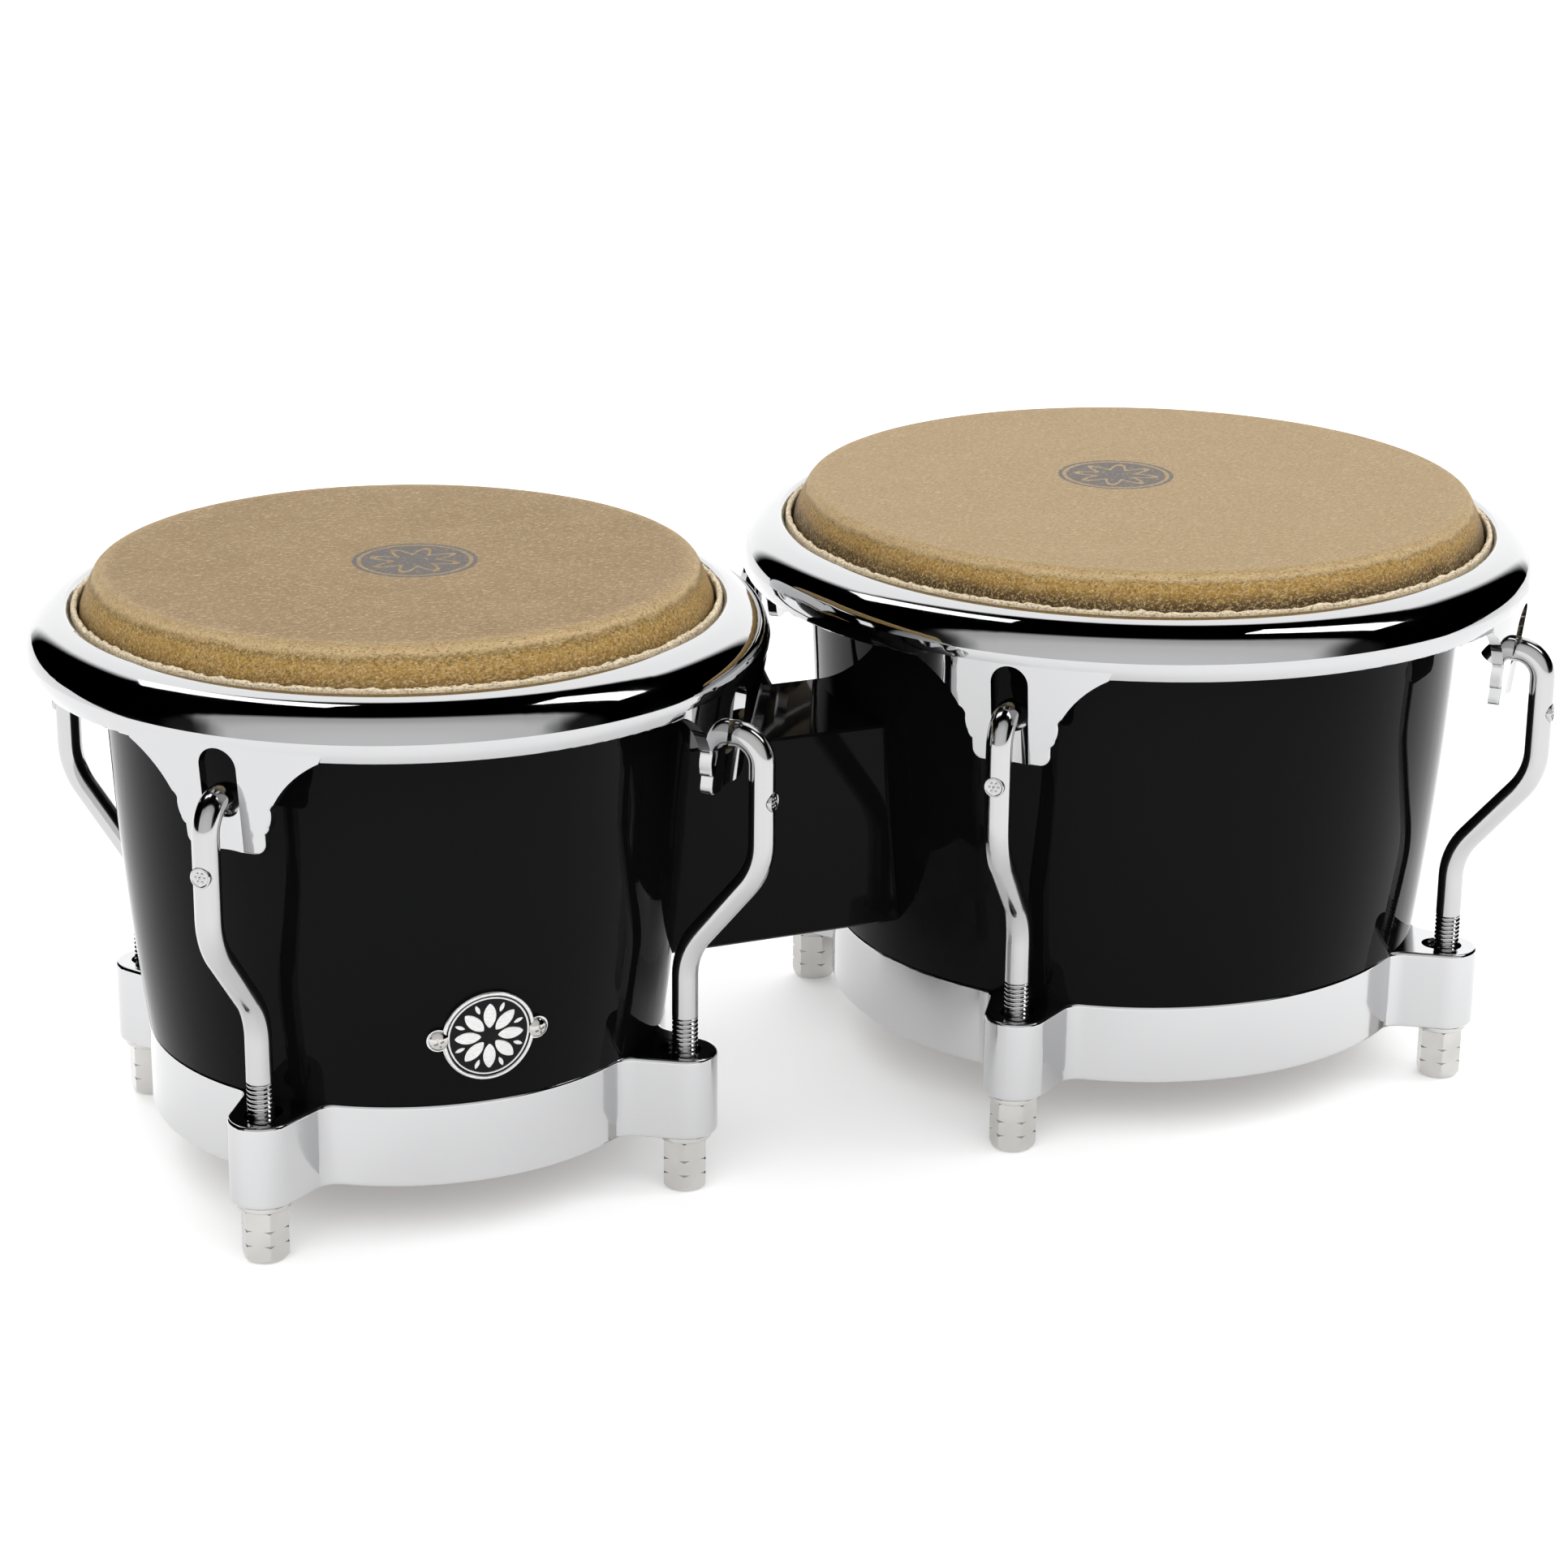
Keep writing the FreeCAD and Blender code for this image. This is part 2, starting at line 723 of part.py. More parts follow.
def hook_path(body, drum):
    """Centre line of the plain part of a hook, from the thread to the curled tip."""
    bolt = drum.bolt_radius
    shank = bolt + dim("hook_offset")
    start_z = dim("thread_top") - 1.0
    bend_z = dim("hook_bend_low")
    curl_z = dim("hook_curl_height")
    bend = DIMENSIONS["hook_bend_radius"]
    curl = DIMENSIONS["hook_curl_radius"]
    turn = math.radians(DIMENSIONS["hook_bend_angle"])
    lean = Vector(math.sin(turn), math.cos(turn), 0)
    side = bend * (1 - math.cos(turn))
    rise = bend * math.sin(turn)
    slant = (DIMENSIONS["hook_offset"] - 2 * side) / math.sin(turn)
    first = Vector(bolt.value, bend_z.value, 0)
    second = first + Vector(side, rise, 0)
    third = second + lean * slant
    fourth = third + Vector(side, rise, 0)
    top = Vector(shank.value, curl_z.value, 0)

    sketch = body.newObject("Sketcher::SketchObject", "HookPath")
    attach(sketch, body, "XZ_Plane")
    outer_centre = first + Vector(bend, 0, 0)
    inner_centre = fourth - Vector(bend, 0, 0)
    curl_centre = top - Vector(curl, 0, 0)
    end_angle = math.radians(DIMENSIONS["hook_curl_angle"])
    pieces = [
        Part.LineSegment(Vector(bolt.value, start_z.value, 0), first),
        Part.ArcOfCircle(Part.Circle(outer_centre, UP, bend), math.pi - turn, math.pi),
        Part.LineSegment(second, third),
        Part.ArcOfCircle(Part.Circle(inner_centre, UP, bend), -turn, 0.0),
        Part.LineSegment(fourth, top),
        Part.ArcOfCircle(Part.Circle(curl_centre, UP, curl), 0.0, end_angle),
    ]
    sketch.addGeometry(pieces, False)
    joints = [(0, 2, 1, 2), (1, 1, 2, 1), (2, 2, 3, 1), (3, 2, 4, 1), (4, 2, 5, 1)]
    for one, one_end, two, two_end in joints:
        sketch.addConstraint(Sketcher.Constraint("Tangent", one, one_end, two, two_end))
    for line in (0, 4):
        sketch.addConstraint(Sketcher.Constraint("Vertical", line))
    driven = [
        ("DistanceX", (-1, 1, 0, 1), bolt),
        ("DistanceY", (-1, 1, 0, 1), start_z),
        ("DistanceY", (-1, 1, 0, 2), bend_z),
        ("DistanceX", (-1, 1, 4, 2), shank),
        ("DistanceY", (-1, 1, 4, 2), curl_z),
        ("Radius", (1,), dim("hook_bend_radius")),
        ("Radius", (3,), dim("hook_bend_radius")),
        ("Radius", (5,), dim("hook_curl_radius")),
    ]
    for kind, where, value in driven:
        number = sketch.addConstraint(Sketcher.Constraint(kind, *where, value.value))
        sketch.setExpression("Constraints[%d]" % number, value.text)
    slope = sketch.addConstraint(
        Sketcher.Constraint("Angle", 2, math.pi / 2 - turn)
    )
    sketch.setExpression("Constraints[%d]" % slope, "90 deg - Sizes.hook_bend_angle * 1 deg")
    sweep = sketch.addConstraint(Sketcher.Constraint("Angle", 5, end_angle))
    sketch.setExpression("Constraints[%d]" % sweep, "Sizes.hook_curl_angle * 1 deg")
    return sketch


def hook(drum, number, azimuth):
    """A J-hook bent from round rod. The threaded end is drawn at the thread's core."""
    body = new_body(drum.label("hook_%d" % number))
    bolt = drum.bolt_radius
    thread_length = dim("thread_top") - dim("rod_end")
    core = circle_sketch(body, "CoreCircle", "XY_Plane", bolt, 0.0,
                         dim("thread_core_radius"), lift=dim("rod_end"))
    pad(body, core, thread_length, "Thread")
    path = hook_path(body, drum)
    section = circle_sketch(body, "RodCircle", "XY_Plane", bolt, 0.0,
                            dim("rod_radius"), lift=dim("thread_top") - 1.0)
    doc.recompute()
    bent = body.newObject("PartDesign::AdditivePipe", "BentRod")
    bent.Profile = section
    bent.Spine = (path, ["Edge%d" % (edge + 1) for edge in range(6)])
    drum.stand(body, azimuth)
    return body


def tuning_nut(drum, number, azimuth):
    """Long hexagonal nut, turned down at its foot and at two bands; blind bore."""
    body = new_body(drum.label("nut_%d" % number))
    corner = DIMENSIONS["nut_flats"] / math.sqrt(3)
    flats = dim("nut_flats") * 0.5
    half_side = dim("nut_flats") * 0.288675
    corners = [
        (flats, -half_side),
        (flats, half_side),
        (0.0, half_side * 2),
        (-flats, half_side),
        (-flats, -half_side),
        (0.0, -(half_side * 2)),
    ]
    pad(body, outline_sketch(body, "Hexagon", "XY_Plane", corners), dim("nut_height"), "Hex")
    height = dim("nut_height")
    wide = corner + 1.0
    slack = 0.05
    turned = body.newObject("Sketcher::SketchObject", "TurnedOutline")
    attach(turned, body, "XZ_Plane")
    add_outline(turned, [
        (4.9, -1.0), (wide, -1.0), (wide, 2.4), (corner + slack, 2.4, -3.4), (4.9, 0.0),
    ])
    for band in (dim("nut_band_low"), dim("nut_band_high")):
        add_outline(turned, [
            (flats + 0.2, band), (wide, band - 1.0), (wide, band + 1.0),
        ])
    add_outline(turned, [
        (flats - 0.1, height), (wide, height - 1.0), (wide, height + 1.0), (flats - 0.1, height + 1.0),
    ])
    doc.recompute()
    groove = body.newObject("PartDesign::Groove", "TurnedBands")
    groove.Profile = turned
    groove.ReferenceAxis = (turned, ["V_Axis"])
    groove.Angle = 360.0
    bore = circle_sketch(body, "BoreCircle", "XY_Plane", 0.0, 0.0,
                         dim("nut_bore_radius"), lift=height)
    bored = body.newObject("PartDesign::Pocket", "Bore")
    bored.Profile = bore
    drive(bored, "Length", height - dim("nut_floor"))
    place = drum.centre + polar(drum.bolt_radius.value, azimuth)
    body.Placement = FreeCAD.Placement(place, FreeCAD.Rotation(UP, azimuth + 11.0 * number))
    return body


def washers(drum):
    """Four thick round-edged washers between the nuts and the lugs."""
    links = []
    for number, azimuth in enumerate(EAR_AZIMUTHS, start=1):
        place = drum.centre + polar(drum.bolt_radius.value, azimuth, DIMENSIONS["nut_height"])
        thickness = dim("ring_low") - dim("nut_height")
        name = drum.label("washer_%d" % number)
        disc = cylinder(name + "_disc", dim("washer_radius"), thickness, place)
        doc.recompute()
        rounded = doc.addObject("Part::Fillet", name + "_rounded")
        rounded.Base = disc
        radius = DIMENSIONS["washer_round"]
        round_edges = [i for i, edge in enumerate(disc.Shape.Edges, start=1) if edge.isClosed()]
        rounded.Edges = [(i, radius, radius) for i in round_edges]
        bore = cylinder(name + "_bore", dim("washer_bore_radius"), thickness, place)
        links.append(cut(name, rounded, [bore]))
    group = doc.addObject("Part::Compound", drum.label("washers"))
    group.Links = links
    return group


# ------------------------------------------------------------------- block bolts


def block_bolts(drum):
    """Two hexagon bolts from inside the shell into the block."""
    outward = Vector(drum.facing, 0, 0)
    turn = FreeCAD.Rotation(UP, outward)
    links = []
    for number, centre in enumerate(bolt_axes(drum), start=1):
        seat = drum.crown.value - DIMENSIONS["bolt_seat_inset"] - DIMENSIONS["bolt_washer_thickness"]
        name = drum.label("block_bolt_%d" % number)
        head = doc.addObject("Part::Prism", name + "_head")
        head.Polygon = 6
        drive(head, "Circumradius", dim("bolt_head_flats") * 0.57735)
        drive(head, "Height", dim("bolt_head_height"))
        face = centre + outward * (seat - DIMENSIONS["bolt_head_height"])
        head.Placement = FreeCAD.Placement(face, turn)
        shank = cylinder(name + "_shank", dim("bolt_shank_radius"), dim("bolt_bite"),
                         centre + outward * seat, outward)
        bolt = doc.addObject("Part::Fuse", name)
        bolt.Base = head
        bolt.Tool = shank
        links.append(bolt)
    group = doc.addObject("Part::Compound", drum.label("block_bolts"))
    group.Links = links
    return group


def block_washers(drum):
    """The flat washers under the heads of the block bolts."""
    outward = Vector(drum.facing, 0, 0)
    links = []
    for number, centre in enumerate(bolt_axes(drum), start=1):
        seat = drum.crown.value - DIMENSIONS["bolt_seat_inset"]
        base = centre + outward * (seat - DIMENSIONS["bolt_washer_thickness"])
        name = drum.label("block_washer_%d" % number)
        disc = cylinder(name + "_disc", dim("bolt_washer_radius"), dim("bolt_washer_thickness"),
                        base, outward)
        bore = cylinder(name + "_bore", dim("bolt_shank_radius"), dim("bolt_washer_thickness"),
                        base, outward)
        links.append(cut(name, disc, [bore]))
    group = doc.addObject("Part::Compound", drum.label("block_washers"))
    group.Links = links
    return group


# ------------------------------------------------------------------- badge

BADGE_AZIMUTH = -91.3


def badge_face(drum):
    """Radius of the shell's outside at the badge."""
    low = Vector(drum.ring_radius.value, DIMENSIONS["ring_high"], 0)
    outer_top = drum.crown.value - DIMENSIONS["shell_top_inset"]
    shoulder = (DIMENSIONS["crown_height"] - DIMENSIONS["skin_thickness"]
                - DIMENSIONS["skin_clearance"] - DIMENSIONS["bearing_round"])
    top = Vector(outer_top, shoulder, 0)
    half = (top - low).Length / 2
    bulge = DIMENSIONS["shell_bulge_radius"]
    rise = math.sqrt(bulge ** 2 - half ** 2)
    left = Vector(-(top - low).y, (top - low).x, 0).normalize()
    centre = (low + top) * 0.5 + left * rise
    return centre.x + math.sqrt(bulge ** 2 - (DIMENSIONS["badge_height"] - centre.y) ** 2)


def screw_azimuths(drum):
    """Where the badge's two screws stand round the shell."""
    swing = math.degrees(DIMENSIONS["badge_screw_spread"] / badge_face(drum))
    return (BADGE_AZIMUTH - swing, BADGE_AZIMUTH + swing)


def screw_direction(azimuth):
    """Outward axis of a badge screw, square to the leaning shell."""
    return (polar(1, azimuth) - UP * DIMENSIONS["badge_slope"]).normalize()


def screw_seat(drum, azimuth):
    """Point where a screw head meets the badge, measured from the drum's axis."""
    air = 0.05
    reach = badge_face(drum) + DIMENSIONS["badge_gap"] + DIMENSIONS["badge_thickness"] + air
    return polar(reach, azimuth, DIMENSIONS["badge_height"])


def badge_plate(drum):
    """A thin round plate with two screw ears, bent to the shell."""
    height = DIMENSIONS["badge_height"]
    face = badge_face(drum)
    thickness = DIMENSIONS["badge_thickness"]
    half_band = 20.0
    lean = DIMENSIONS["badge_slope"] * half_band
    inside = face + DIMENSIONS["badge_gap"]
    sheet = Part.Face(chain([
        radial(inside - lean, height - half_band),
        radial(inside - lean + thickness, height - half_band),
        radial(inside + lean + thickness, height + half_band),
        radial(inside + lean, height + half_band),
    ])).revolve(Vector(0, 0, 0), UP, 60.0)
    sheet.rotate(Vector(0, 0, 0), UP, -30.0)
    start = Vector(face - 20.0, 0, height)
    depth = 40.0
    along = Vector(1, 0, 0)
    cutter = Part.makeCylinder(DIMENSIONS["badge_radius"], depth, start, along)
    spread = DIMENSIONS["badge_screw_spread"]
    swing = math.degrees(spread / face)
    drills = []
    for side in (-1, 1):
        foot = polar(face - 20.0, side * swing, height)
        direction = polar(1, side * swing)
        cutter = cutter.fuse(Part.makeCylinder(DIMENSIONS["badge_ear_radius"], depth, foot, direction))
        drills.append(Part.makeCylinder(DIMENSIONS["screw_shank_radius"] + 0.2, depth, foot, direction))
    plate = sheet.common(cutter)
    for drill in drills:
        plate = plate.cut(drill)
    result = doc.addObject("Part::Feature", "badge_plate")
    result.Shape = plate.Solids[0]
    drum.stand(result, BADGE_AZIMUTH)
    return result


def badge_screws(drum):
    """Two small pan-head screws with a cross recess."""
    head_radius = DIMENSIONS["screw_head_radius"]
    head_height = DIMENSIONS["screw_head_height"]
    shank = DIMENSIONS["screw_shank_radius"]
    length = DIMENSIONS["screw_length"]
    # turned outline round the local X axis, with the head outwards
    profile = Part.Face(chain([
        Vector(-length, 0, 0),
        Vector(-length + 2.0, shank, 0),
        Vector(0, shank, 0),
        Vector(0, head_radius, 0),
        (Vector(0.5, head_radius, 0), Vector(1.2, head_radius * 0.72, 0)),
        Vector(head_height, 0, 0),
    ]))
    screw = profile.revolve(Vector(0, 0, 0), Vector(1, 0, 0), 360.0)
    bar = 0.65
    reach = 3.2
    for width, tall in ((bar, reach), (reach, bar)):
        slot = Part.makeBox(1.0, width, tall, Vector(head_height - 0.8, -width / 2, -tall / 2))
        screw = screw.cut(slot)
    lean = math.degrees(math.atan(DIMENSIONS["badge_slope"]))
    screws = []
    for azimuth in screw_azimuths(drum):
        piece = screw.copy()
        piece.rotate(Vector(0, 0, 0), Vector(1, 0, 0), 20.0)
        piece.rotate(Vector(0, 0, 0), Vector(0, 1, 0), lean)
        piece.rotate(Vector(0, 0, 0), UP, azimuth)
        piece.translate(screw_seat(drum, azimuth))
        screws.append(piece.Solids[0])
    result = doc.addObject("Part::Feature", "badge_screws")
    result.Shape = Part.makeCompound(screws)
    drum.stand(result)
    return result


# ------------------------------------------------------------------- assembly


def check_document():
    """Stop if any object failed to compute."""
    failed = [item.Name for item in doc.Objects if "Invalid" in item.State or "Error" in item.State]
    if failed:
        raise RuntimeError("failed: %s" % ", ".join(failed))


def export(nodes):
    """Write every sub-part to its own file, once all of them are sound."""
    for label, item in nodes.items():
        shape = item.Shape
        if shape.isNull() or not shape.isValid() or not shape.Solids:
            raise RuntimeError("%s has no valid solid" % label)
    os.makedirs("parts", exist_ok=True)
    for label, item in nodes.items():
        item.Label = label
        item.Shape.exportStep("parts/%s.step" % label)
        box = item.Shape.BoundBox
        print("%-22s %8.2f cm3  z %7.2f to %7.2f" % (
            label, item.Shape.Volume / 1000.0, box.ZMin, box.ZMax))


def main():
    make_sheet()
    drums = [Drum("small", 1), Drum("large", -1)]
    blanks = [turned_shell(drum) for drum in drums]
    nodes = {"centre_block": centre_block(drums, blanks)}
    for drum, blank in zip(drums, blanks):
        nodes[drum.label("shell")] = shell(drum, blank)
        nodes[drum.label("bottom_ring")] = bottom_ring(drum)
        nodes[drum.label("head_skin")] = head_skin(drum)
        nodes[drum.label("flesh_hoop")] = flesh_hoop(drum)
        nodes[drum.label("rim")] = rim(drum)
        nodes[drum.label("washers")] = washers(drum)
        nodes[drum.label("block_bolts")] = block_bolts(drum)
        nodes[drum.label("block_washers")] = block_washers(drum)
        for number, azimuth in enumerate(EAR_AZIMUTHS, start=1):
            nodes[drum.label("hook_%d" % number)] = hook(drum, number, azimuth)
            nodes[drum.label("nut_%d" % number)] = tuning_nut(drum, number, azimuth)
    nodes["badge_plate"] = badge_plate(drums[0])
    nodes["badge_screws"] = badge_screws(drums[0])
    doc.recompute()
    check_document()
    export(nodes)


main()
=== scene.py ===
# %% [markdown]
# # A pair of bongo drums
# The drums were designed in CAD: shells, rings, rims, hooks and nuts come in as a fixed frame of
# named nodes, already at their real size. This lesson gives every node a finish and builds the
# pieces that CAD leaves plain: the hide heads, the rolled threads, the badge's metal rings. The
# first cell loads the frame and keeps its outer box, so that the last cell can prove that the
# looks did not change the size.

# %% Load the frame
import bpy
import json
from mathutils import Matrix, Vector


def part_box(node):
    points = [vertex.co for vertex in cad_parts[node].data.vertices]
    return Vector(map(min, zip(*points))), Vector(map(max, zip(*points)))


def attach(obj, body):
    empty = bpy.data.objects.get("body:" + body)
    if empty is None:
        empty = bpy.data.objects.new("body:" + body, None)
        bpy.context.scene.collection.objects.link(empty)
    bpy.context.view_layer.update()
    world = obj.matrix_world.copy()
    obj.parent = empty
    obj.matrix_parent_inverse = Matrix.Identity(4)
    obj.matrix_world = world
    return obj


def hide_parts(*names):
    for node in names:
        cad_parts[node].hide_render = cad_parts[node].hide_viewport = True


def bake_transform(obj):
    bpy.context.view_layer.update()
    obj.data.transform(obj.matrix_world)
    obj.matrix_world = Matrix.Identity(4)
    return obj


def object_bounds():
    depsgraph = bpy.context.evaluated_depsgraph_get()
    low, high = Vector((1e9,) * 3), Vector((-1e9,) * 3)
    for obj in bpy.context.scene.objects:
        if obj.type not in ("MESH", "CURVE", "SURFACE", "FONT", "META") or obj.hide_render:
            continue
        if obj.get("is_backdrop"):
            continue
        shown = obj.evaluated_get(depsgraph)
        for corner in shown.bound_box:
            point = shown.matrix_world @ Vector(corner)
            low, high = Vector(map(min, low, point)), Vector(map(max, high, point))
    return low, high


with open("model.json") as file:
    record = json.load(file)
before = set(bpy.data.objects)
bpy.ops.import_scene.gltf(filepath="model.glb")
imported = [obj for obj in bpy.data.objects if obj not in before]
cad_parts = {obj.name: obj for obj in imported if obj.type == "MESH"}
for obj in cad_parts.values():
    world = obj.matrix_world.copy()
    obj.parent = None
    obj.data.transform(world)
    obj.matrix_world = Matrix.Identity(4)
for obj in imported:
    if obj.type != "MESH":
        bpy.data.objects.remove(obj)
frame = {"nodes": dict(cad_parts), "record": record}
cad_low, cad_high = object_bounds()

# %% [markdown]
# ## Two drums with one section
# Both drums were turned and cast to the same section, only further from the axis on the large
# one. So everything here is written once, as a distance outside the crown radius (the crown is
# the edge of the playing surface), and used twice. The crown radius is read from the rim's box.

# %% Measure the two drums
import json
import math

import bpy
import numpy as np
from mathutils import Matrix, Vector, noise

MM = 0.001
RIM_REACH = 21.6 * MM
CROWN_TOP = cad_high.z
HOOK_AZIMUTHS = (-135.0, -45.0, 45.0, 135.0)
BOLT_REACH = 3.5 * MM
HOOK_OFFSET = 24.5 * MM
ROD_RADIUS = 3.97 * MM


class Drum:
    """Name, axis and crown radius of one drum."""

    def __init__(self, name):
        self.name = name
        low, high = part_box(name + "_rim")
        self.axis = Vector(((low.x + high.x) / 2, (low.y + high.y) / 2, 0.0))
        self.crown = (high.x - low.x) / 2 - RIM_REACH
        self.tension = name + "_tension"

    def at(self, radius, azimuth, height):
        """The point at a radius, an azimuth in degrees and a height."""
        turn = math.radians(azimuth)
        return self.axis + Vector((radius * math.cos(turn), radius * math.sin(turn), height))


drums = [Drum("small"), Drum("large")]
for drum in drums:
    print(drum.name, "axis x %.1f mm, crown radius %.1f mm" % (drum.axis.x / MM, drum.crown / MM))

# %% [markdown]
# ## The camera
# The drums are seen from a little above, turned so that the small drum comes towards the viewer.
# A long lens (88 mm) keeps the circles from spreading. A camera in Blender looks along its own
# minus Z, so the rotation is built from three directions: right, up and back. The small roll
# levels the pair the way a hand-set tripod would leave it.

# %% Place the camera
CAMERA_PLACE = Vector((-0.4649, -1.0612, 0.4996))
CAMERA_TARGET = Vector((-0.0070, 0.0, 0.1009))
CAMERA_ROLL = math.radians(0.57)


def aim(place, target, roll):
    """World matrix of a camera at place that looks at target."""
    back = (place - target).normalized()
    right = Vector((0, 0, 1)).cross(back).normalized()
    up = back.cross(right)
    tilted = right * math.cos(roll) + up * math.sin(roll)
    lifted = back.cross(tilted)
    rotation = Matrix((tilted, lifted, back)).transposed().to_4x4()
    return Matrix.Translation(place) @ rotation


camera_data = bpy.data.cameras.new("studio_camera")
camera_data.lens = 88.06
camera_data.sensor_width = 36.0
camera_data.clip_end = 50.0
camera = bpy.data.objects.new("studio_camera", camera_data)
camera.matrix_world = aim(CAMERA_PLACE, CAMERA_TARGET, CAMERA_ROLL)
bpy.context.scene.collection.objects.link(camera)
bpy.context.scene.camera = camera

# %% [markdown]
# ## The studio
# Chrome shows its surroundings and nothing else, so the studio is designed as a picture for the
# chrome to reflect. A tall white panel stands behind the drums and leans over them: the flat tops
# of the rims mirror it. Behind the viewer is a grey wall, and the ceiling between them is dark,
# which draws the black band along every shoulder. The upright faces mirror the white floor. Two
# tall softboxes put the bright lenses into the band. Broad lamps and a dome light the hides and
# the floor, and they are hidden from glossy rays, so they light without being mirrored.

# %% Light the studio
VIEW_RIGHT = Vector((0.916, -0.401, 0.0))
VIEW_AWAY = Vector((0.401, 0.916, 0.0))
PANEL_WHITE = 1.5


def link(tree, source, target):
    tree.links.new(source, target)


def ramp(tree, factor, stops, smooth=True):
    """A colour ramp from (position, colour) pairs; a colour may be one grey number."""
    made = tree.nodes.new("ShaderNodeValToRGB")
    made.color_ramp.interpolation = "EASE" if smooth else "LINEAR"
    elements = made.color_ramp.elements
    while len(elements) < len(stops):
        elements.new(0.5)
    for element, (position, colour) in zip(elements, stops):
        element.position = position
        if isinstance(colour, (int, float)):
            colour = (colour, colour, colour)
        element.color = (*colour, 1.0)
    link(tree, factor, made.inputs["Fac"])
    return made.outputs["Color"]


def calculate(tree, operation, *terms, clamp=False):
    """A Math node: each term is a socket or a number."""
    made = tree.nodes.new("ShaderNodeMath")
    made.operation = operation
    made.use_clamp = clamp
    for slot, term in enumerate(terms):
        if isinstance(term, (int, float)):
            made.inputs[slot].default_value = term
        else:
            link(tree, term, made.inputs[slot])
    return made.outputs[0]


def blend_colours(tree, factor, one, two, mode="MIX"):
    """A Mix node for colours: each is a socket or an (r, g, b)."""
    made = tree.nodes.new("ShaderNodeMix")
    made.data_type = "RGBA"
    made.blend_type = mode
    for socket, value in ((made.inputs[0], factor), (made.inputs[6], one), (made.inputs[7], two)):
        if isinstance(value, (int, float)):
            socket.default_value = value
        elif isinstance(value, tuple):
            socket.default_value = (*value, 1.0)
        else:
            link(tree, value, socket)
    return made.outputs[2]


def paint_world():
    """A white panel behind and above the drums in a dark room, by direction."""
    world = bpy.data.worlds.new("studio")
    world.use_nodes = True
    tree = world.node_tree
    direction = tree.nodes.new("ShaderNodeTexCoord").outputs["Generated"]
    shares = []
    for axis in (VIEW_RIGHT, VIEW_AWAY):
        part = tree.nodes.new("ShaderNodeVectorMath")
        part.operation = "DOT_PRODUCT"
        part.inputs[1].default_value = axis
        link(tree, direction, part.inputs[0])
        shares.append(part.outputs["Value"])
    beside, behind = shares
    width = calculate(tree, "ABSOLUTE", beside)
    near_middle = ramp(tree, width, [(0.50, 1.0), (0.62, 0.0)])
    far_side = ramp(tree, behind, [(0.40, 0.0), (0.48, 1.0)])
    panel = blend_colours(tree, 1.0, near_middle, far_side, "MULTIPLY")
    wall = ramp(tree, calculate(tree, "MULTIPLY_ADD", behind, 0.5, 0.5), [
        (0.0, 0.64), (0.14, 0.58), (0.28, 0.40), (0.335, 0.0),
    ])
    wall_width = ramp(tree, width, [(0.70, 1.0), (0.84, 0.03)])
    room = blend_colours(tree, 1.0, wall, wall_width, "MULTIPLY")
    whole = blend_colours(tree, 1.0, panel, room, "LIGHTEN")
    link(tree, whole, tree.nodes["Background"].inputs["Color"])
    tree.nodes["Background"].inputs["Strength"].default_value = PANEL_WHITE
    bpy.context.scene.world = world


def softbox(name, place, size, power, mirrored):
    """A square area lamp that faces the drums."""
    lamp = bpy.data.lights.new(name, "AREA")
    lamp.shape = "RECTANGLE"
    lamp.size, lamp.size_y = size
    lamp.energy = power
    box = bpy.data.objects.new(name, lamp)
    box.matrix_world = aim(Vector(place), Vector((0.0, 0.0, 0.08)), 0.0)
    box.visible_glossy = mirrored
    bpy.context.scene.collection.objects.link(box)
    return box


def overhead_glow(strength):
    """A dome of very soft light from above, the same all over the floor."""
    lamp = bpy.data.lights.new("overhead_glow", "SUN")
    lamp.energy = strength
    lamp.angle = math.radians(150)
    glow = bpy.data.objects.new("overhead_glow", lamp)
    glow.visible_glossy = False
    bpy.context.scene.collection.objects.link(glow)
    return glow


paint_world()
overhead_glow(2.75)
softbox("front_scrim", (-1.2, -1.9, 1.6), (1.8, 1.4), 7.0, False)
softbox("right_scrim", (1.9, -0.6, 1.5), (1.6, 1.4), 6.0, False)
softbox("left_softbox", (-0.57, 0.69, 1.67), (0.34, 1.0), 2.6, True)
softbox("right_softbox", (0.96, -0.51, 1.55), (0.36, 1.0), 3.2, True)
bpy.context.scene.view_settings.view_transform = "Standard"

# %% [markdown]
# ## Materials
# Every finish is a small node tree on one Principled shader. The helpers below keep the trees
# short: an empty material, noise on object coordinates and a bump from a height. Bump distances
# are real heights in metres, so a scratch is as deep as it would be under a finger.

# %% Helpers for finishes


def new_finish(name):
    """An empty material: returns it with its node tree and its shader."""
    material = bpy.data.materials.new(name)
    material.use_nodes = True
    tree = material.node_tree
    return material, tree, tree.nodes["Principled BSDF"]


def place_of(tree):
    """Object coordinates: they equal the shared frame, because no CAD object is moved."""
    return tree.nodes.new("ShaderNodeTexCoord").outputs["Object"]


def speckle(tree, place, grain, detail=3.0, roughness=0.55, stretch=None):
    """Noise whose grains are about `grain` metres wide, 0 to 1."""
    if stretch is not None:
        mapping = tree.nodes.new("ShaderNodeMapping")
        mapping.inputs["Scale"].default_value = stretch
        link(tree, place, mapping.inputs["Vector"])
        place = mapping.outputs[0]
    made = tree.nodes.new("ShaderNodeTexNoise")
    made.inputs["Scale"].default_value = 1.0 / grain
    made.inputs["Detail"].default_value = detail
    made.inputs["Roughness"].default_value = roughness
    link(tree, place, made.inputs["Vector"])
    return made.outputs["Fac"]


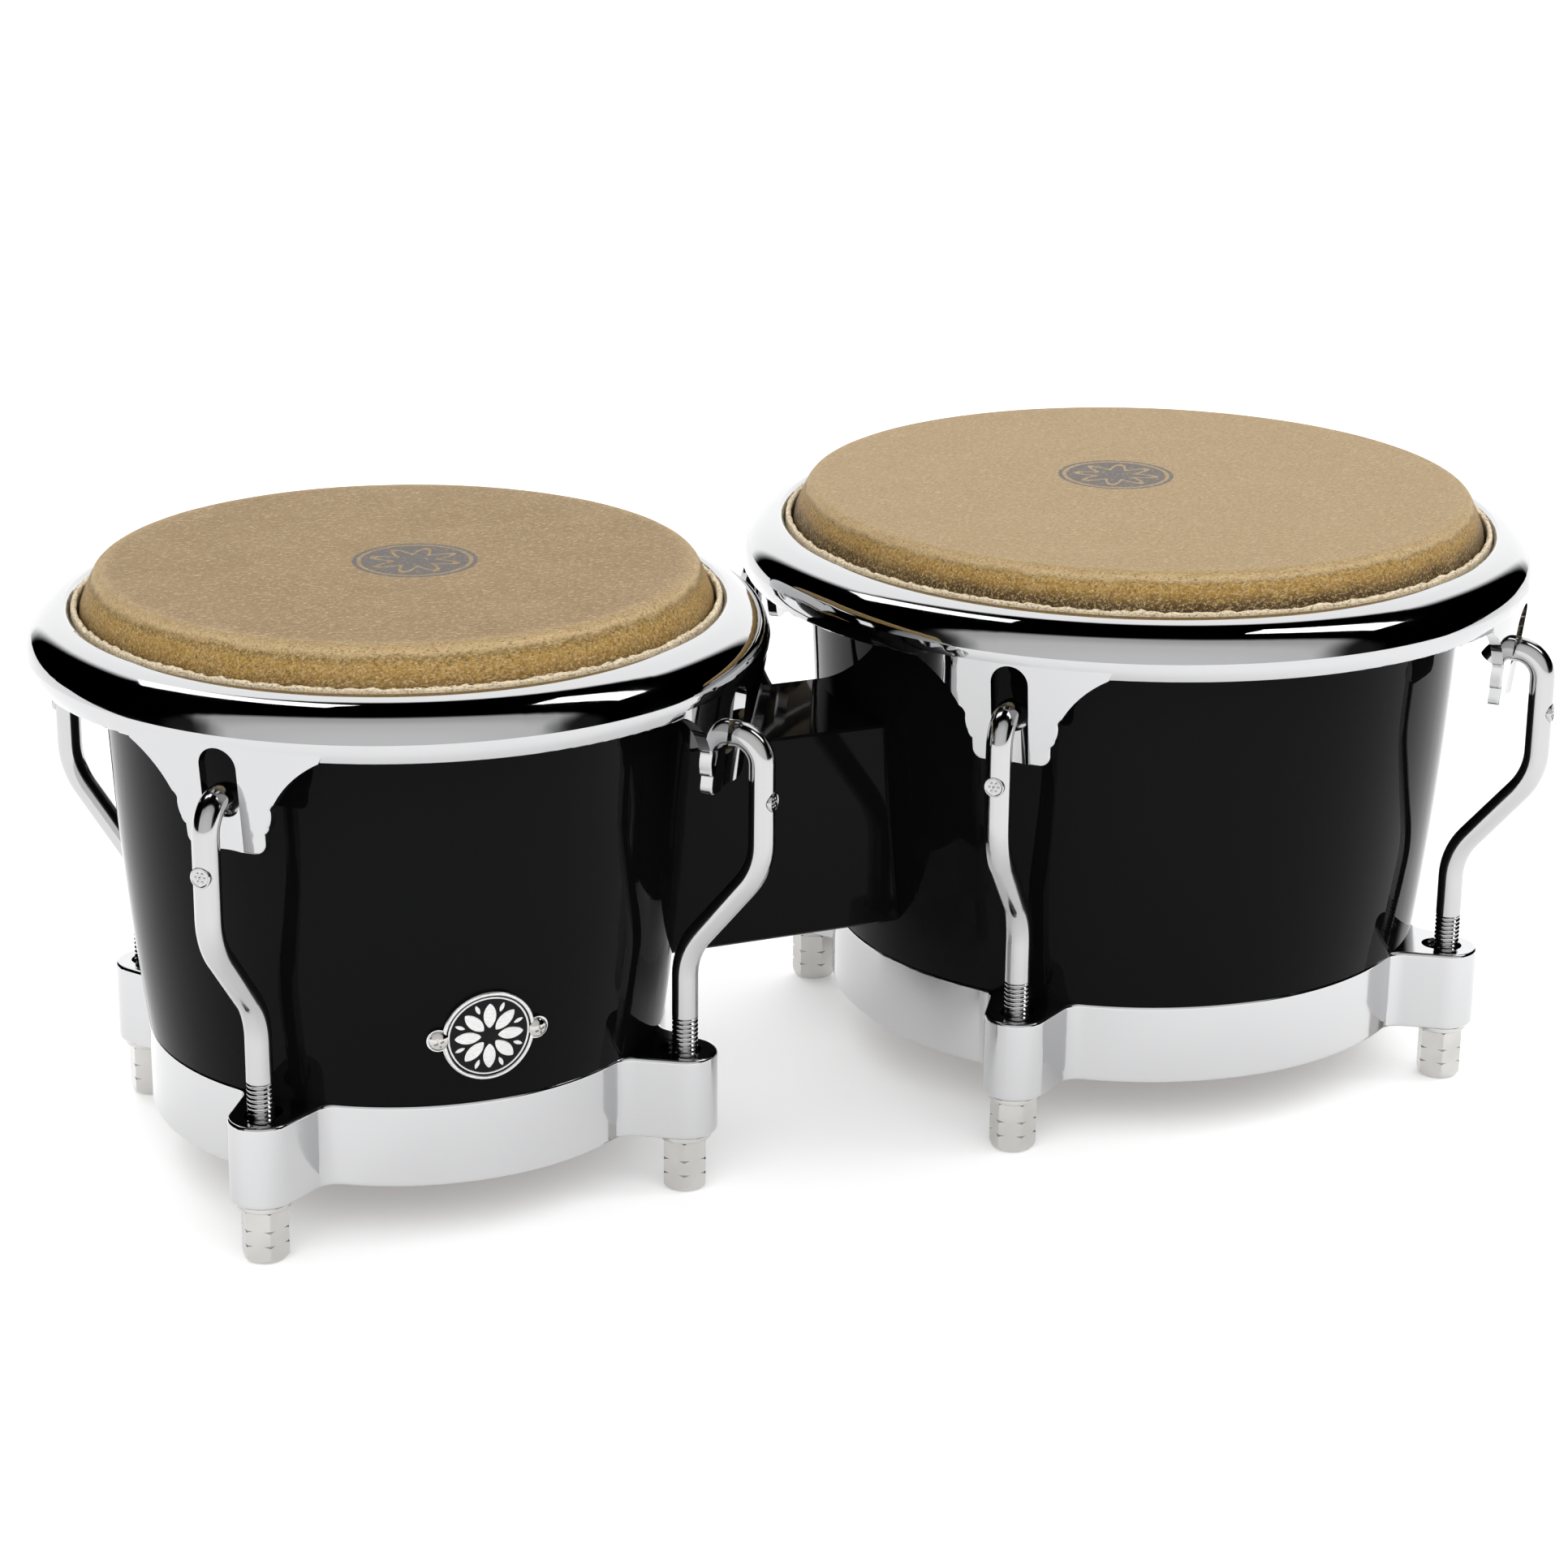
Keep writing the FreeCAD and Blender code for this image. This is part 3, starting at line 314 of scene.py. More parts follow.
def bump(tree, shader, height, distance):
    """Raise the surface by `distance` metres where the height socket is 1."""
    made = tree.nodes.new("ShaderNodeBump")
    made.inputs["Strength"].default_value = 1.0
    made.inputs["Distance"].default_value = distance
    link(tree, height, made.inputs["Height"])
    link(tree, made.outputs[0], shader.inputs["Normal"])


# %% [markdown]
# ## Bright chrome
# The rims and rings are castings that were polished and plated. Polishing by hand leaves a
# surface that is smooth but not quite true, so the reflections swim a little. A noise with broad
# grains and a height of a few microns does that. A finer noise moves the roughness, as wiping
# marks do. The rims are buffed harder than the rings, so they are sharper mirrors. The hooks are
# bent from drawn rod, which keeps faint lines along its length.

# %% Chrome, nickel and plain steel


def chrome_casting(name, tone, sheen):
    material, tree, shader = new_finish(name)
    place = place_of(tree)
    shader.inputs["Base Color"].default_value = (tone, tone * 1.003, tone * 1.016, 1.0)
    shader.inputs["Metallic"].default_value = 1.0
    wiping = speckle(tree, place, 14 * MM, 4.0)
    link(tree, ramp(tree, wiping, [(0.3, sheen), (0.75, sheen + 0.055)]),
         shader.inputs["Roughness"])
    bump(tree, shader, speckle(tree, place, 22 * MM, 1.0), 0.02 * MM)
    return material


def chrome_rod():
    material, tree, shader = new_finish("chrome_rod")
    place = place_of(tree)
    shader.inputs["Base Color"].default_value = (0.475, 0.474, 0.477, 1.0)
    shader.inputs["Metallic"].default_value = 1.0
    drawn = speckle(tree, place, 1.2 * MM, 3.0, stretch=(1.0, 1.0, 0.06))
    wiping = speckle(tree, place, 9 * MM, 3.0)
    rough = calculate(tree, "MULTIPLY_ADD", wiping, 0.16, 0.03)
    link(tree, rough, shader.inputs["Roughness"])
    bump(tree, shader, drawn, 0.006 * MM)
    return material


def nickel():
    material, tree, shader = new_finish("nickel_hardware")
    place = place_of(tree)
    stain = speckle(tree, place, 14 * MM, 2.0)
    tint = ramp(tree, stain, [(0.35, (0.57, 0.565, 0.55)), (0.7, (0.52, 0.51, 0.485))])
    link(tree, tint, shader.inputs["Base Color"])
    shader.inputs["Metallic"].default_value = 1.0
    turning = speckle(tree, place, 0.5 * MM, 2.0, stretch=(0.15, 0.15, 3.0))
    link(tree, calculate(tree, "MULTIPLY_ADD", turning, 0.10, 0.03), shader.inputs["Roughness"])
    bump(tree, shader, turning, 0.002 * MM)
    return material


def zinc_steel():
    material, tree, shader = new_finish("inner_steel")
    place = place_of(tree)
    spangle = speckle(tree, place, 3 * MM, 5.0)
    link(tree, ramp(tree, spangle, [(0.3, (0.36, 0.36, 0.37)), (0.7, (0.60, 0.60, 0.58))]),
         shader.inputs["Base Color"])
    shader.inputs["Metallic"].default_value = 1.0
    link(tree, calculate(tree, "MULTIPLY_ADD", spangle, 0.25, 0.25), shader.inputs["Roughness"])
    return material


finishes = {
    "chrome_casting": chrome_casting("chrome_casting", 0.56, 0.07),
    "chrome_rod": chrome_rod(),
    "nickel_hardware": nickel(),
    "inner_steel": zinc_steel(),
}

# %% [markdown]
# ## Black lacquer over turned wood
# The outside of a shell is polished black lacquer; the inside is left as bare wood, where the
# staves and the lathe's marks show. One material does both: the normal of an inside wall points
# towards the axis, so the dot product of the normal with the outward direction tells the two
# apart. The lacquer's own specular level is low, because a deep black gloss mirrors only about
# one part in a hundred until it is seen at a grazing angle.

# %% Lacquer and bare wood


def bare_wood(tree, place):
    """Colour of the wood inside a shell: long upright grain."""
    grain = speckle(tree, place, 5 * MM, 6.0, 0.6, stretch=(1.0, 1.0, 0.05))
    pores = speckle(tree, place, 0.8 * MM, 2.0, 0.5, stretch=(1.0, 1.0, 0.08))
    body = ramp(tree, grain, [(0.3, (0.20, 0.11, 0.055)), (0.5, (0.36, 0.22, 0.115)),
                              (0.72, (0.47, 0.31, 0.17))])
    return blend_colours(tree, calculate(tree, "MULTIPLY", pores, 0.45), body,
                         (0.16, 0.085, 0.04)), grain


def lacquered_shell(drum):
    material, tree, shader = new_finish(drum.name + "_shell_lacquer")
    place = place_of(tree)
    geometry = tree.nodes.new("ShaderNodeNewGeometry")
    outward = tree.nodes.new("ShaderNodeVectorMath")
    outward.operation = "SUBTRACT"
    outward.inputs[1].default_value = (drum.axis.x, drum.axis.y, 0.0)
    link(tree, place, outward.inputs[0])
    flat = tree.nodes.new("ShaderNodeVectorMath")
    flat.operation = "MULTIPLY"
    flat.inputs[1].default_value = (1.0, 1.0, 0.0)
    link(tree, outward.outputs[0], flat.inputs[0])
    facing = tree.nodes.new("ShaderNodeVectorMath")
    facing.operation = "DOT_PRODUCT"
    link(tree, flat.outputs[0], facing.inputs[0])
    link(tree, geometry.outputs["Normal"], facing.inputs[1])
    inside = calculate(tree, "LESS_THAN", facing.outputs["Value"], -0.001)
    wood, grain = bare_wood(tree, place)
    link(tree, blend_colours(tree, inside, (0.0028, 0.0029, 0.0031), wood),
         shader.inputs["Base Color"])
    cloud = speckle(tree, place, 30 * MM, 2.0)
    gloss = calculate(tree, "MULTIPLY_ADD", cloud, 0.03, 0.015)
    rough = calculate(tree, "MULTIPLY_ADD", inside, 0.5, gloss)
    link(tree, rough, shader.inputs["Roughness"])
    shader.inputs["Specular IOR Level"].default_value = 0.048
    waviness = speckle(tree, place, 35 * MM, 0.0)
    relief = calculate(tree, "MULTIPLY", grain, inside)
    bump(tree, shader, calculate(tree, "MULTIPLY_ADD", relief, 3.0, waviness), 0.03 * MM)
    return material


def lacquered_block():
    material, tree, shader = new_finish("block_lacquer")
    place = place_of(tree)
    shader.inputs["Base Color"].default_value = (0.0032, 0.0033, 0.0035, 1.0)
    cloud = speckle(tree, place, 18 * MM, 3.0)
    link(tree, calculate(tree, "MULTIPLY_ADD", cloud, 0.06, 0.02), shader.inputs["Roughness"])
    shader.inputs["Specular IOR Level"].default_value = 0.052
    bump(tree, shader, speckle(tree, place, 25 * MM, 1.0), 0.02 * MM)
    return material


finishes["block_lacquer"] = lacquered_block()
shell_finish = {drum.name: lacquered_shell(drum) for drum in drums}
rim_finish = chrome_casting("chrome_rim", 0.50, 0.015)

# %% [markdown]
# ## Hide
# A head is cow or buffalo rawhide. Its crown is scraped even and looks taupe, with yellow flecks
# of fibre half a millimetre across. Over the bearing edge the hide is stained olive gold, and
# the collar darkens towards the hoop. Just past the crown's edge a pale band is painted in, a
# painted highlight of the gloss along the bead. The cut edge is pale. The mesh carries one number
# for each vertex, `along`, which is how far that point lies along the section, so a colour ramp
# can follow the section, and noise breaks the ramp's edges up.

# %% Hide


def printed_roundel(tree, place, centre, radius):
    """Mask of a worn plain stamp: an outer ring round a disc with eight cut petals."""
    offset = tree.nodes.new("ShaderNodeVectorMath")
    offset.operation = "SUBTRACT"
    offset.inputs[1].default_value = centre
    link(tree, place, offset.inputs[0])
    split = tree.nodes.new("ShaderNodeSeparateXYZ")
    link(tree, offset.outputs[0], split.inputs[0])
    x, y = split.outputs["X"], split.outputs["Y"]
    across = calculate(tree, "MULTIPLY", x, x)
    squared = calculate(tree, "MULTIPLY_ADD", y, y, across)
    reach = calculate(tree, "DIVIDE", calculate(tree, "SQRT", squared), radius)
    angle = calculate(tree, "ARCTAN2", y, x)
    wave = calculate(tree, "SINE", calculate(tree, "MULTIPLY", angle, 8.0))
    petal = calculate(tree, "MULTIPLY_ADD", wave, 0.16, 0.52)
    ring = calculate(tree, "COMPARE", reach, 0.95, 0.035)
    disc = calculate(tree, "LESS_THAN", reach, 0.85)
    hollow = calculate(tree, "COMPARE", reach, petal, 0.055)
    solid = calculate(tree, "SUBTRACT", disc, hollow, clamp=True)
    stamp = calculate(tree, "MAXIMUM", ring, solid)
    worn = speckle(tree, place, 0.9 * MM, 4.0, 0.7)
    kept = calculate(tree, "GREATER_THAN", worn, 0.40)
    return calculate(tree, "MULTIPLY", stamp, kept)


EDGE_SPAN = 120 * MM


def past_edge(millimetres):
    """Ramp position of a point so many mm down the hide from the crown's edge."""
    return 0.5 + millimetres * MM / EDGE_SPAN


def hide(drum, print_centre, crown_tone, foot_tone, stain_start):
    material, tree, shader = new_finish(drum.name + "_hide")
    place = place_of(tree)
    length = tree.nodes.new("ShaderNodeAttribute")
    length.attribute_name = "along"
    along = length.outputs["Fac"]
    cloud = speckle(tree, place, 24 * MM, 4.0, 0.6)
    mottle = speckle(tree, place, 0.95 * MM, 4.0, 0.70)
    patches = speckle(tree, place, 7 * MM, 3.0, 0.6)
    fleck = speckle(tree, place, 0.50 * MM, 2.0, 0.7, stretch=(0.35, 1.0, 0.8))
    fibre = speckle(tree, place, 0.40 * MM, 2.0, 0.7, stretch=(0.30, 0.9, 1.0))
    wander = calculate(tree, "MULTIPLY_ADD", patches, 0.030, -0.015)
    wander = calculate(tree, "ADD", wander, calculate(tree, "MULTIPLY_ADD", mottle, 0.014, -0.007))
    shifted = calculate(tree, "ADD", along, wander)
    golden = (0.330, 0.198, 0.048)
    body = ramp(tree, shifted, [
        (0.0, crown_tone),
        (past_edge(-6.0), crown_tone),
        (past_edge(-1.6), (0.320, 0.220, 0.100)),
        # painted highlight: this pale stop just past the crown's edge stands in for the gloss on
        # the bead
        (past_edge(0.4), (0.460, 0.335, 0.180)),
        (past_edge(2.2), (0.200, 0.125, 0.038)),
        (past_edge(stain_start - 3.0), golden),
        (past_edge(stain_start), (0.285, 0.165, 0.040)),
        (past_edge(stain_start + 3.6), foot_tone),
        (past_edge(20.0), foot_tone),
        (past_edge(44.0), (0.330, 0.230, 0.120)),
        (past_edge(45.8), (0.760, 0.650, 0.480)),
    ], smooth=False)
    collar = ramp(tree, along, [(past_edge(-3.0), 0.12), (past_edge(3.5), 1.0)])
    body = blend_colours(tree, ramp(tree, cloud, [(0.35, 0.0), (0.75, 0.20)]), body,
                         (0.36, 0.26, 0.14))
    pale = ramp(tree, mottle, [(0.51, 0.0), (0.66, 0.62)])
    body = blend_colours(tree, calculate(tree, "MULTIPLY", pale, collar), body,
                         (0.50, 0.345, 0.130))
    dark = ramp(tree, mottle, [(0.34, 0.75), (0.49, 0.0)])
    body = blend_colours(tree, calculate(tree, "MULTIPLY", dark, collar), body,
                         (0.085, 0.052, 0.016))
    body = blend_colours(tree, ramp(tree, fleck, [(0.53, 0.0), (0.64, 0.55)]), body,
                         (0.50, 0.39, 0.23))
    body = blend_colours(tree, ramp(tree, fibre, [(0.34, 0.62), (0.47, 0.0)]), body,
                         (0.115, 0.072, 0.030))
    mask = printed_roundel(tree, place, print_centre, 19 * MM)
    body = blend_colours(tree, calculate(tree, "MULTIPLY", mask, 0.86), body,
                         (0.070, 0.073, 0.084))
    link(tree, body, shader.inputs["Base Color"])
    rough = calculate(tree, "MULTIPLY_ADD", fleck, 0.2, 0.42)
    link(tree, rough, shader.inputs["Roughness"])
    shader.inputs["Specular IOR Level"].default_value = 0.12
    rise = calculate(tree, "MULTIPLY", mottle, collar)
    relief = calculate(tree, "ADD", fleck, calculate(tree, "MULTIPLY", rise, 2.2))
    bump(tree, shader, relief, 0.14 * MM)
    return material


print("finishes:", ", ".join(sorted(finishes)), "and one shell and one hide for each drum")

# %% [markdown]
# ## The head
# The hide is wet when it is laced: it lies flat on the bearing edge, flares down as a collar,
# turns under and round the flesh hoop and comes up inside the rim, where it is trimmed by hand.
# A surface of revolution gives that section its true form, with arcs sampled finely. Then small
# moves along the normal give the crown its slight unevenness and the collar its puckers, and
# the trimmed edge gets an irregular height, so the silhouette is uneven as well as the colour.

# %% Build the heads
HIDE = 1.5 * MM
HOOP_REACH = 9.8 * MM
HOOP_HEIGHT = 167.2 * MM
HOOP_INSIDE = 3.5 * MM
TRIM_DROP = 10.9 * MM
FLARE_DROP = 17.5 * MM
ROUND_STEPS = 720


def bow(start, end, radius, steps, side=1.0):
    """Points of the short arc from start to end, without its last point."""
    start, end = np.array(start), np.array(end)
    half = np.linalg.norm(end - start) / 2
    along = (end - start) / (2 * half)
    left = np.array([-along[1], along[0]]) * side
    centre = (start + end) / 2 + left * math.sqrt(radius ** 2 - half ** 2)
    first = math.atan2(*(start - centre)[::-1])
    last = math.atan2(*(end - centre)[::-1])
    swing = (last - first + math.pi) % (2 * math.pi) - math.pi
    turns = first + swing * np.arange(steps) / steps
    return [tuple(centre + radius * np.array([math.cos(t), math.sin(t)])) for t in turns]


def straight(start, end, steps):
    """Points from start towards end, without the last one."""
    start, end = np.array(start), np.array(end)
    return [tuple(start + (end - start) * k / steps) for k in range(steps)]


def head_section(drum):
    """Closed section (radius, height) of a head, from the crown's centre outwards over the
    collar, round the hoop to the trimmed tail and back inside. Also the count of outer points."""
    crown = drum.crown
    top = CROWN_TOP
    trim = top - TRIM_DROP
    flare = top - FLARE_DROP
    hoop = crown + HOOP_REACH
    level = HOOP_HEIGHT
    inner = HOOP_INSIDE
    outer = inner + HIDE
    points = straight((0.4 * MM, top), (crown - 14 * MM, top), 26)
    points += straight((crown - 14 * MM, top), (crown - 3.0 * MM, top - 0.05 * MM), 12)
    points += bow((crown - 3.0 * MM, top - 0.05 * MM), (crown + 0.5 * MM, top - 2.5 * MM),
                  3.6 * MM, 10, side=-1.0)
    points += bow((crown + 0.5 * MM, top - 2.5 * MM), (crown + 4.2 * MM, trim),
                  60 * MM, 14, side=-1.0)
    points += straight((crown + 4.2 * MM, trim), (crown + 5.2 * MM, flare), 8)
    points += straight((crown + 5.2 * MM, flare), (hoop - inner, level), 4)
    for quarter in range(3):
        start, end = math.pi + quarter * math.pi / 2, math.pi + (quarter + 1) * math.pi / 2
        for step in range(8):
            turn = start + (end - start) * step / 8
            points.append((hoop + inner * math.cos(turn), level + inner * math.sin(turn)))
    tail_foot = (crown + 7.3 * MM, level + inner)
    points += straight((hoop, level + inner), tail_foot, 2)
    points += straight(tail_foot, (crown + 5.95 * MM, level + inner + 0.9 * MM), 2)
    points += straight((crown + 5.95 * MM, level + inner + 0.9 * MM),
                       (crown + 5.3 * MM, trim), 8)
    edge = len(points)
    points += bow((crown + 5.3 * MM, trim), (crown + 7.0 * MM, top - 11.0 * MM),
                  0.86 * MM, 6, side=-1.0)
    points += straight((crown + 7.0 * MM, top - 11.0 * MM), (crown + 7.1 * MM, level + outer), 8)
    points += straight((crown + 7.1 * MM, level + outer), (hoop, level + outer), 2)
    for step in range(24):
        turn = math.pi / 2 - step * 1.5 * math.pi / 24
        points.append((hoop + outer * math.cos(turn), level + outer * math.sin(turn)))
    points += straight((hoop - outer, level), (crown + 3.7 * MM, flare), 3)
    points += straight((crown + 3.7 * MM, flare), (crown + 2.7 * MM, trim), 4)
    points += straight((crown + 2.7 * MM, trim), (crown - 1.0 * MM, top - 3.3 * MM), 4)
    points += straight((crown - 1.0 * MM, top - 3.3 * MM), (crown - 2.9 * MM, top - HIDE), 3)
    points += straight((crown - 2.9 * MM, top - HIDE), (0.4 * MM, top - HIDE), 20)
    points.append((0.4 * MM, top - HIDE))
    return points, edge


def closed_mesh(name, vertices, faces):
    """A checked mesh from vertices and faces."""
    mesh = bpy.data.meshes.new(name)
    mesh.from_pydata(vertices, [], faces)
    mesh.validate()
    return mesh


def lathe(name, points, axis, steps):
    """Mesh of a section turned round the axis, with a cap at each end of the section."""
    count = len(points)
    turns = np.arange(steps) * 2 * math.pi / steps
    section = np.array(points)
    ring = np.stack([np.cos(turns), np.sin(turns)], axis=1)
    xy = section[:, None, :1] * ring[None, :, :] + np.array([axis.x, axis.y])
    z = np.broadcast_to(section[:, None, 1:], (count, steps, 1))
    vertices = np.concatenate([xy, z], axis=2).reshape(-1, 3)
    here = np.arange(steps)
    there = (here + 1) % steps
    faces = []
    for row in range(count - 1):
        low, high = row * steps, (row + 1) * steps
        faces += [(low + a, high + a, high + b, low + b) for a, b in zip(here, there)]
    faces.append(tuple(here))
    faces.append(tuple((count - 1) * steps + here[::-1]))
    return closed_mesh(name, vertices.tolist(), [tuple(int(i) for i in face) for face in faces])


def show(name, mesh, material, smooth=True):
    """Put a mesh in the scene as one object with one material."""
    thing = bpy.data.objects.new(name, mesh)
    mesh.materials.append(material)
    if smooth:
        mesh.polygons.foreach_set("use_smooth", [True] * len(mesh.polygons))
    bpy.context.scene.collection.objects.link(thing)
    return thing


def ripple(point, grain, octaves=3):
    """Smooth noise of about -1 to 1 at a point, with grains of that width."""
    return noise.fractal(point / grain, 1.0, 2.0, octaves)


def weather_head(drum, mesh, points, edge):
    """Uneven crown, puckered collar and a ragged trimmed edge; writes `along`."""
    lengths = np.concatenate([[0.0], np.cumsum(np.hypot(*np.diff(np.array(points), axis=0).T))])
    share = np.clip(0.5 + (lengths - drum.crown) / EDGE_SPAN, 0.0, 1.0)
    print("hide from crown edge to trimmed edge: %.1f mm" % ((lengths[edge] - drum.crown) / MM))
    attribute = mesh.attributes.new("along", "FLOAT", "POINT")
    attribute.data.foreach_set("value", np.repeat(share, ROUND_STEPS).astype(np.float32))
    normals = [vertex.normal.copy() for vertex in mesh.vertices]
    last_row = edge + 9
    top_rows = range(edge - 3, last_row)
    for row in range(last_row):
        fade = min(1.0, row / 12.0)
        for step in range(ROUND_STEPS):
            index = row * ROUND_STEPS + step
            vertex = mesh.vertices[index]
            place = vertex.co.copy()
            if share[row] < 0.5:
                move = 0.05 * MM * ripple(place, 24 * MM) * fade
            else:
                move = 0.10 * MM * ripple(place, 7 * MM) + 0.05 * MM * ripple(place, 1.6 * MM)
            if row in top_rows:
                weight = 1.0 - abs(row - (edge + 2.5)) / 7.0
                lump = ripple(Vector((place.x, place.y, 0.0)), 3.0 * MM, 5)
                place.z += weight * MM * (0.75 * lump - 0.25)
                move += weight * 0.26 * MM * ripple(place, 0.9 * MM, 4)
            vertex.co = place + normals[index] * move
    mesh.update()


def head(drum, print_centre, crown_tone, foot_tone):
    points, edge = head_section(drum)
    name = drum.name + "_head"
    mesh = lathe(name, points, drum.axis, ROUND_STEPS)
    weather_head(drum, mesh, points, edge)
    finish = hide(drum, print_centre, crown_tone, foot_tone, STAIN_STARTS[drum.name])
    skin = show(name, mesh, finish)
    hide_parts(drum.name + "_head_skin")
    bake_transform(skin)
    print(name, len(mesh.vertices), "vertices")
    return skin


PRINT_OFFSETS = {"small": (4.0 * MM, -4.0 * MM), "large": (-2.0 * MM, 11.5 * MM)}
STAIN_STARTS = {"small": 7.4, "large": 5.0}
CROWN_TONES = {"small": (0.212, 0.135, 0.055), "large": (0.290, 0.198, 0.093)}
FOOT_TONES = {"small": (0.150, 0.088, 0.022), "large": (0.046, 0.026, 0.009)}
for drum in drums:
    shift = PRINT_OFFSETS[drum.name]
    centre = (drum.axis.x + shift[0], drum.axis.y + shift[1], 0.0)
    head(drum, centre, CROWN_TONES[drum.name], FOOT_TONES[drum.name])

# %% [markdown]
# ## Rolled threads
# The hook rods carry an 18 turns-to-the-inch thread where they enter the lugs. A thread is a
# small trapezoid swept along a helix, closed at both ends, where it runs out into the rod. The
# CAD rod is already turned down to the core there, so the ridge stands on it and reaches the
# rod's full diameter.

# %% Cut the threads
PITCH = 25.4 / 18 * MM
CORE_RADIUS = 3.5 * MM
THREAD_LOW = 36.0 * MM
THREAD_HIGH = 56.4 * MM
STEPS_A_TURN = 36


def thread_mesh(name, place):
    """A helical ridge round a vertical rod that stands at place."""
    turns = (THREAD_HIGH - THREAD_LOW) / PITCH
    count = int(turns * STEPS_A_TURN)
    vertices = []
    faces = []
    for step in range(count + 1):
        turn = 2 * math.pi * step / STEPS_A_TURN
        height = THREAD_LOW + PITCH * step / STEPS_A_TURN
        run_out = min(1.0, step / 18.0, (count - step) / 18.0)
        crest = CORE_RADIUS + (ROD_RADIUS - CORE_RADIUS) * run_out
        corners = (
            (CORE_RADIUS - 0.12 * MM, -0.49),
            (CORE_RADIUS - 0.02 * MM, -0.47),
            (crest, -0.10),
            (crest, 0.10),
            (CORE_RADIUS - 0.02 * MM, 0.47),
            (CORE_RADIUS - 0.12 * MM, 0.49),
        )
        for radius, shift in corners:
            vertices.append((place.x + radius * math.cos(turn), place.y + radius * math.sin(turn),
                             height + shift * PITCH))
        if step:
            now, before = 6 * step, 6 * (step - 1)
            for side in range(6):
                after = (side + 1) % 6
                faces.append((before + side, now + side, now + after, before + after))
    faces.append(tuple(range(6)))
    faces.append(tuple(6 * count + side for side in reversed(range(6))))
    return closed_mesh(name, vertices, faces)


for drum in drums:
    for number, azimuth in enumerate(HOOK_AZIMUTHS, start=1):
        name = "%s_thread_%d" % (drum.name, number)
        foot = drum.at(drum.crown + BOLT_REACH, azimuth, 0.0)
        thread = show(name, thread_mesh(name, foot), finishes["chrome_rod"], smooth=False)
        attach(thread, drum.tension)
print("threads:", int((THREAD_HIGH - THREAD_LOW) / PITCH), "turns on each of eight rods")

# %% [markdown]
# ## Loose fibres
# Rawhide frays where the knife cut it. Short hairs stand up from the trimmed edge and a few lean
# over the rim. Each is a thin three-sided spike with one bend. They all sit in one mesh for each
# head, and a seeded generator places them, so every run gives the same edge.

# %% Fray the trimmed edge
FIBRES_A_HEAD = 900
FIBRE_CORNERS = (0.0, 2.094, 4.189)


def fibres(drum, seed):
    generator = np.random.default_rng(seed)
    vertices = []
    faces = []
    for azimuth in generator.uniform(0.0, 360.0, FIBRES_A_HEAD):
        root = drum.at(drum.crown + generator.uniform(5.5, 6.9) * MM, azimuth,
                       CROWN_TOP - generator.uniform(11.2, 11.9) * MM)
        outward = (drum.at(1.0, azimuth, 0.0) - drum.axis).normalized()
        round_way = Vector((-outward.y, outward.x, 0.0))
        lean = (outward * generator.normal(0.1, 0.45) + round_way * generator.normal(0.0, 0.7)
                + Vector((0.0, 0.0, 1.0)))
        lean.normalize()
        bend = (outward * generator.normal(0.0, 0.6) + round_way * generator.normal(0.0, 0.6)
                + Vector((0.0, 0.0, 0.3)))
        tall = generator.uniform(0.4, 1.35) * MM
        thick = generator.uniform(0.05, 0.10) * MM
        middle = root + lean * tall * 0.6
        tip = middle + (lean + bend).normalized() * tall * 0.5
        first = len(vertices)
        for centre, girth in ((root, thick), (middle, thick * 0.8)):
            for turn in FIBRE_CORNERS:
                spoke = outward * math.cos(turn) + round_way * math.sin(turn)
                vertices.append(centre + spoke * girth)
        vertices.append(tip)
        for side in range(3):
            after = (side + 1) % 3
            faces.append((first + side, first + after, first + 3 + after, first + 3 + side))
            faces.append((first + 3 + side, first + 3 + after, first + 6))
        faces.append((first + 2, first + 1, first))
    corners = [tuple(vertex) for vertex in vertices]
    return closed_mesh(drum.name + "_edge_fibres", corners, faces)


def fibre_finish():
    material, tree, shader = new_finish("cut_fibre")
    place = place_of(tree)
    tint = ramp(tree, speckle(tree, place, 2 * MM, 2.0),
                [(0.3, (0.50, 0.40, 0.26)), (0.7, (0.74, 0.64, 0.48))])
    link(tree, tint, shader.inputs["Base Color"])
    shader.inputs["Roughness"].default_value = 0.7
    return material


fibre_material = fibre_finish()
for seed, drum in enumerate(drums, start=11):
    fringe = show(drum.name + "_edge_fibres", fibres(drum, seed), fibre_material, smooth=False)
    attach(fringe, drum.tension)
print("fibres:", FIBRES_A_HEAD, "on each head")

# %% [markdown]
# ## Stamped bosses on the hooks
# Every hook has a small round boss below its curl, struck while the rod was hot. Here it is a
# coin 6 mm across that stands a little proud of the rod and faces away from the drum, with a
# raised border and a plain ring of dots. It is turned like the heads and then laid on its side.

# %% Strike the bosses
BOSS_HEIGHT = 128.0 * MM
BOSS_RADIUS = 3.1 * MM
BOSS_SINK = 0.12 * MM


def turned(profile, steps):
    """Vertices and faces of a profile (radius, depth) turned round Z, closed at the last point."""
    vertices = []
    faces = []
    for radius, depth in profile:
        for step in range(steps):
            turn = 2 * math.pi * step / steps
            vertices.append(Vector((radius * math.cos(turn), radius * math.sin(turn), depth)))
    for row in range(len(profile) - 1):
        for step in range(steps):
            after = (step + 1) % steps
            faces.append((row * steps + step, row * steps + after,
                          (row + 1) * steps + after, (row + 1) * steps + step))
    faces.append(tuple(reversed(range(steps))))
    faces.append(tuple((len(profile) - 1) * steps + step for step in range(steps)))
    return vertices, faces


def join(parts):
    """One list of vertices and faces from several."""
    all_vertices, all_faces = [], []
    for vertices, faces in parts:
        first = len(all_vertices)
        all_vertices += vertices
        all_faces += [tuple(first + index for index in face) for face in faces]
    return all_vertices, all_faces


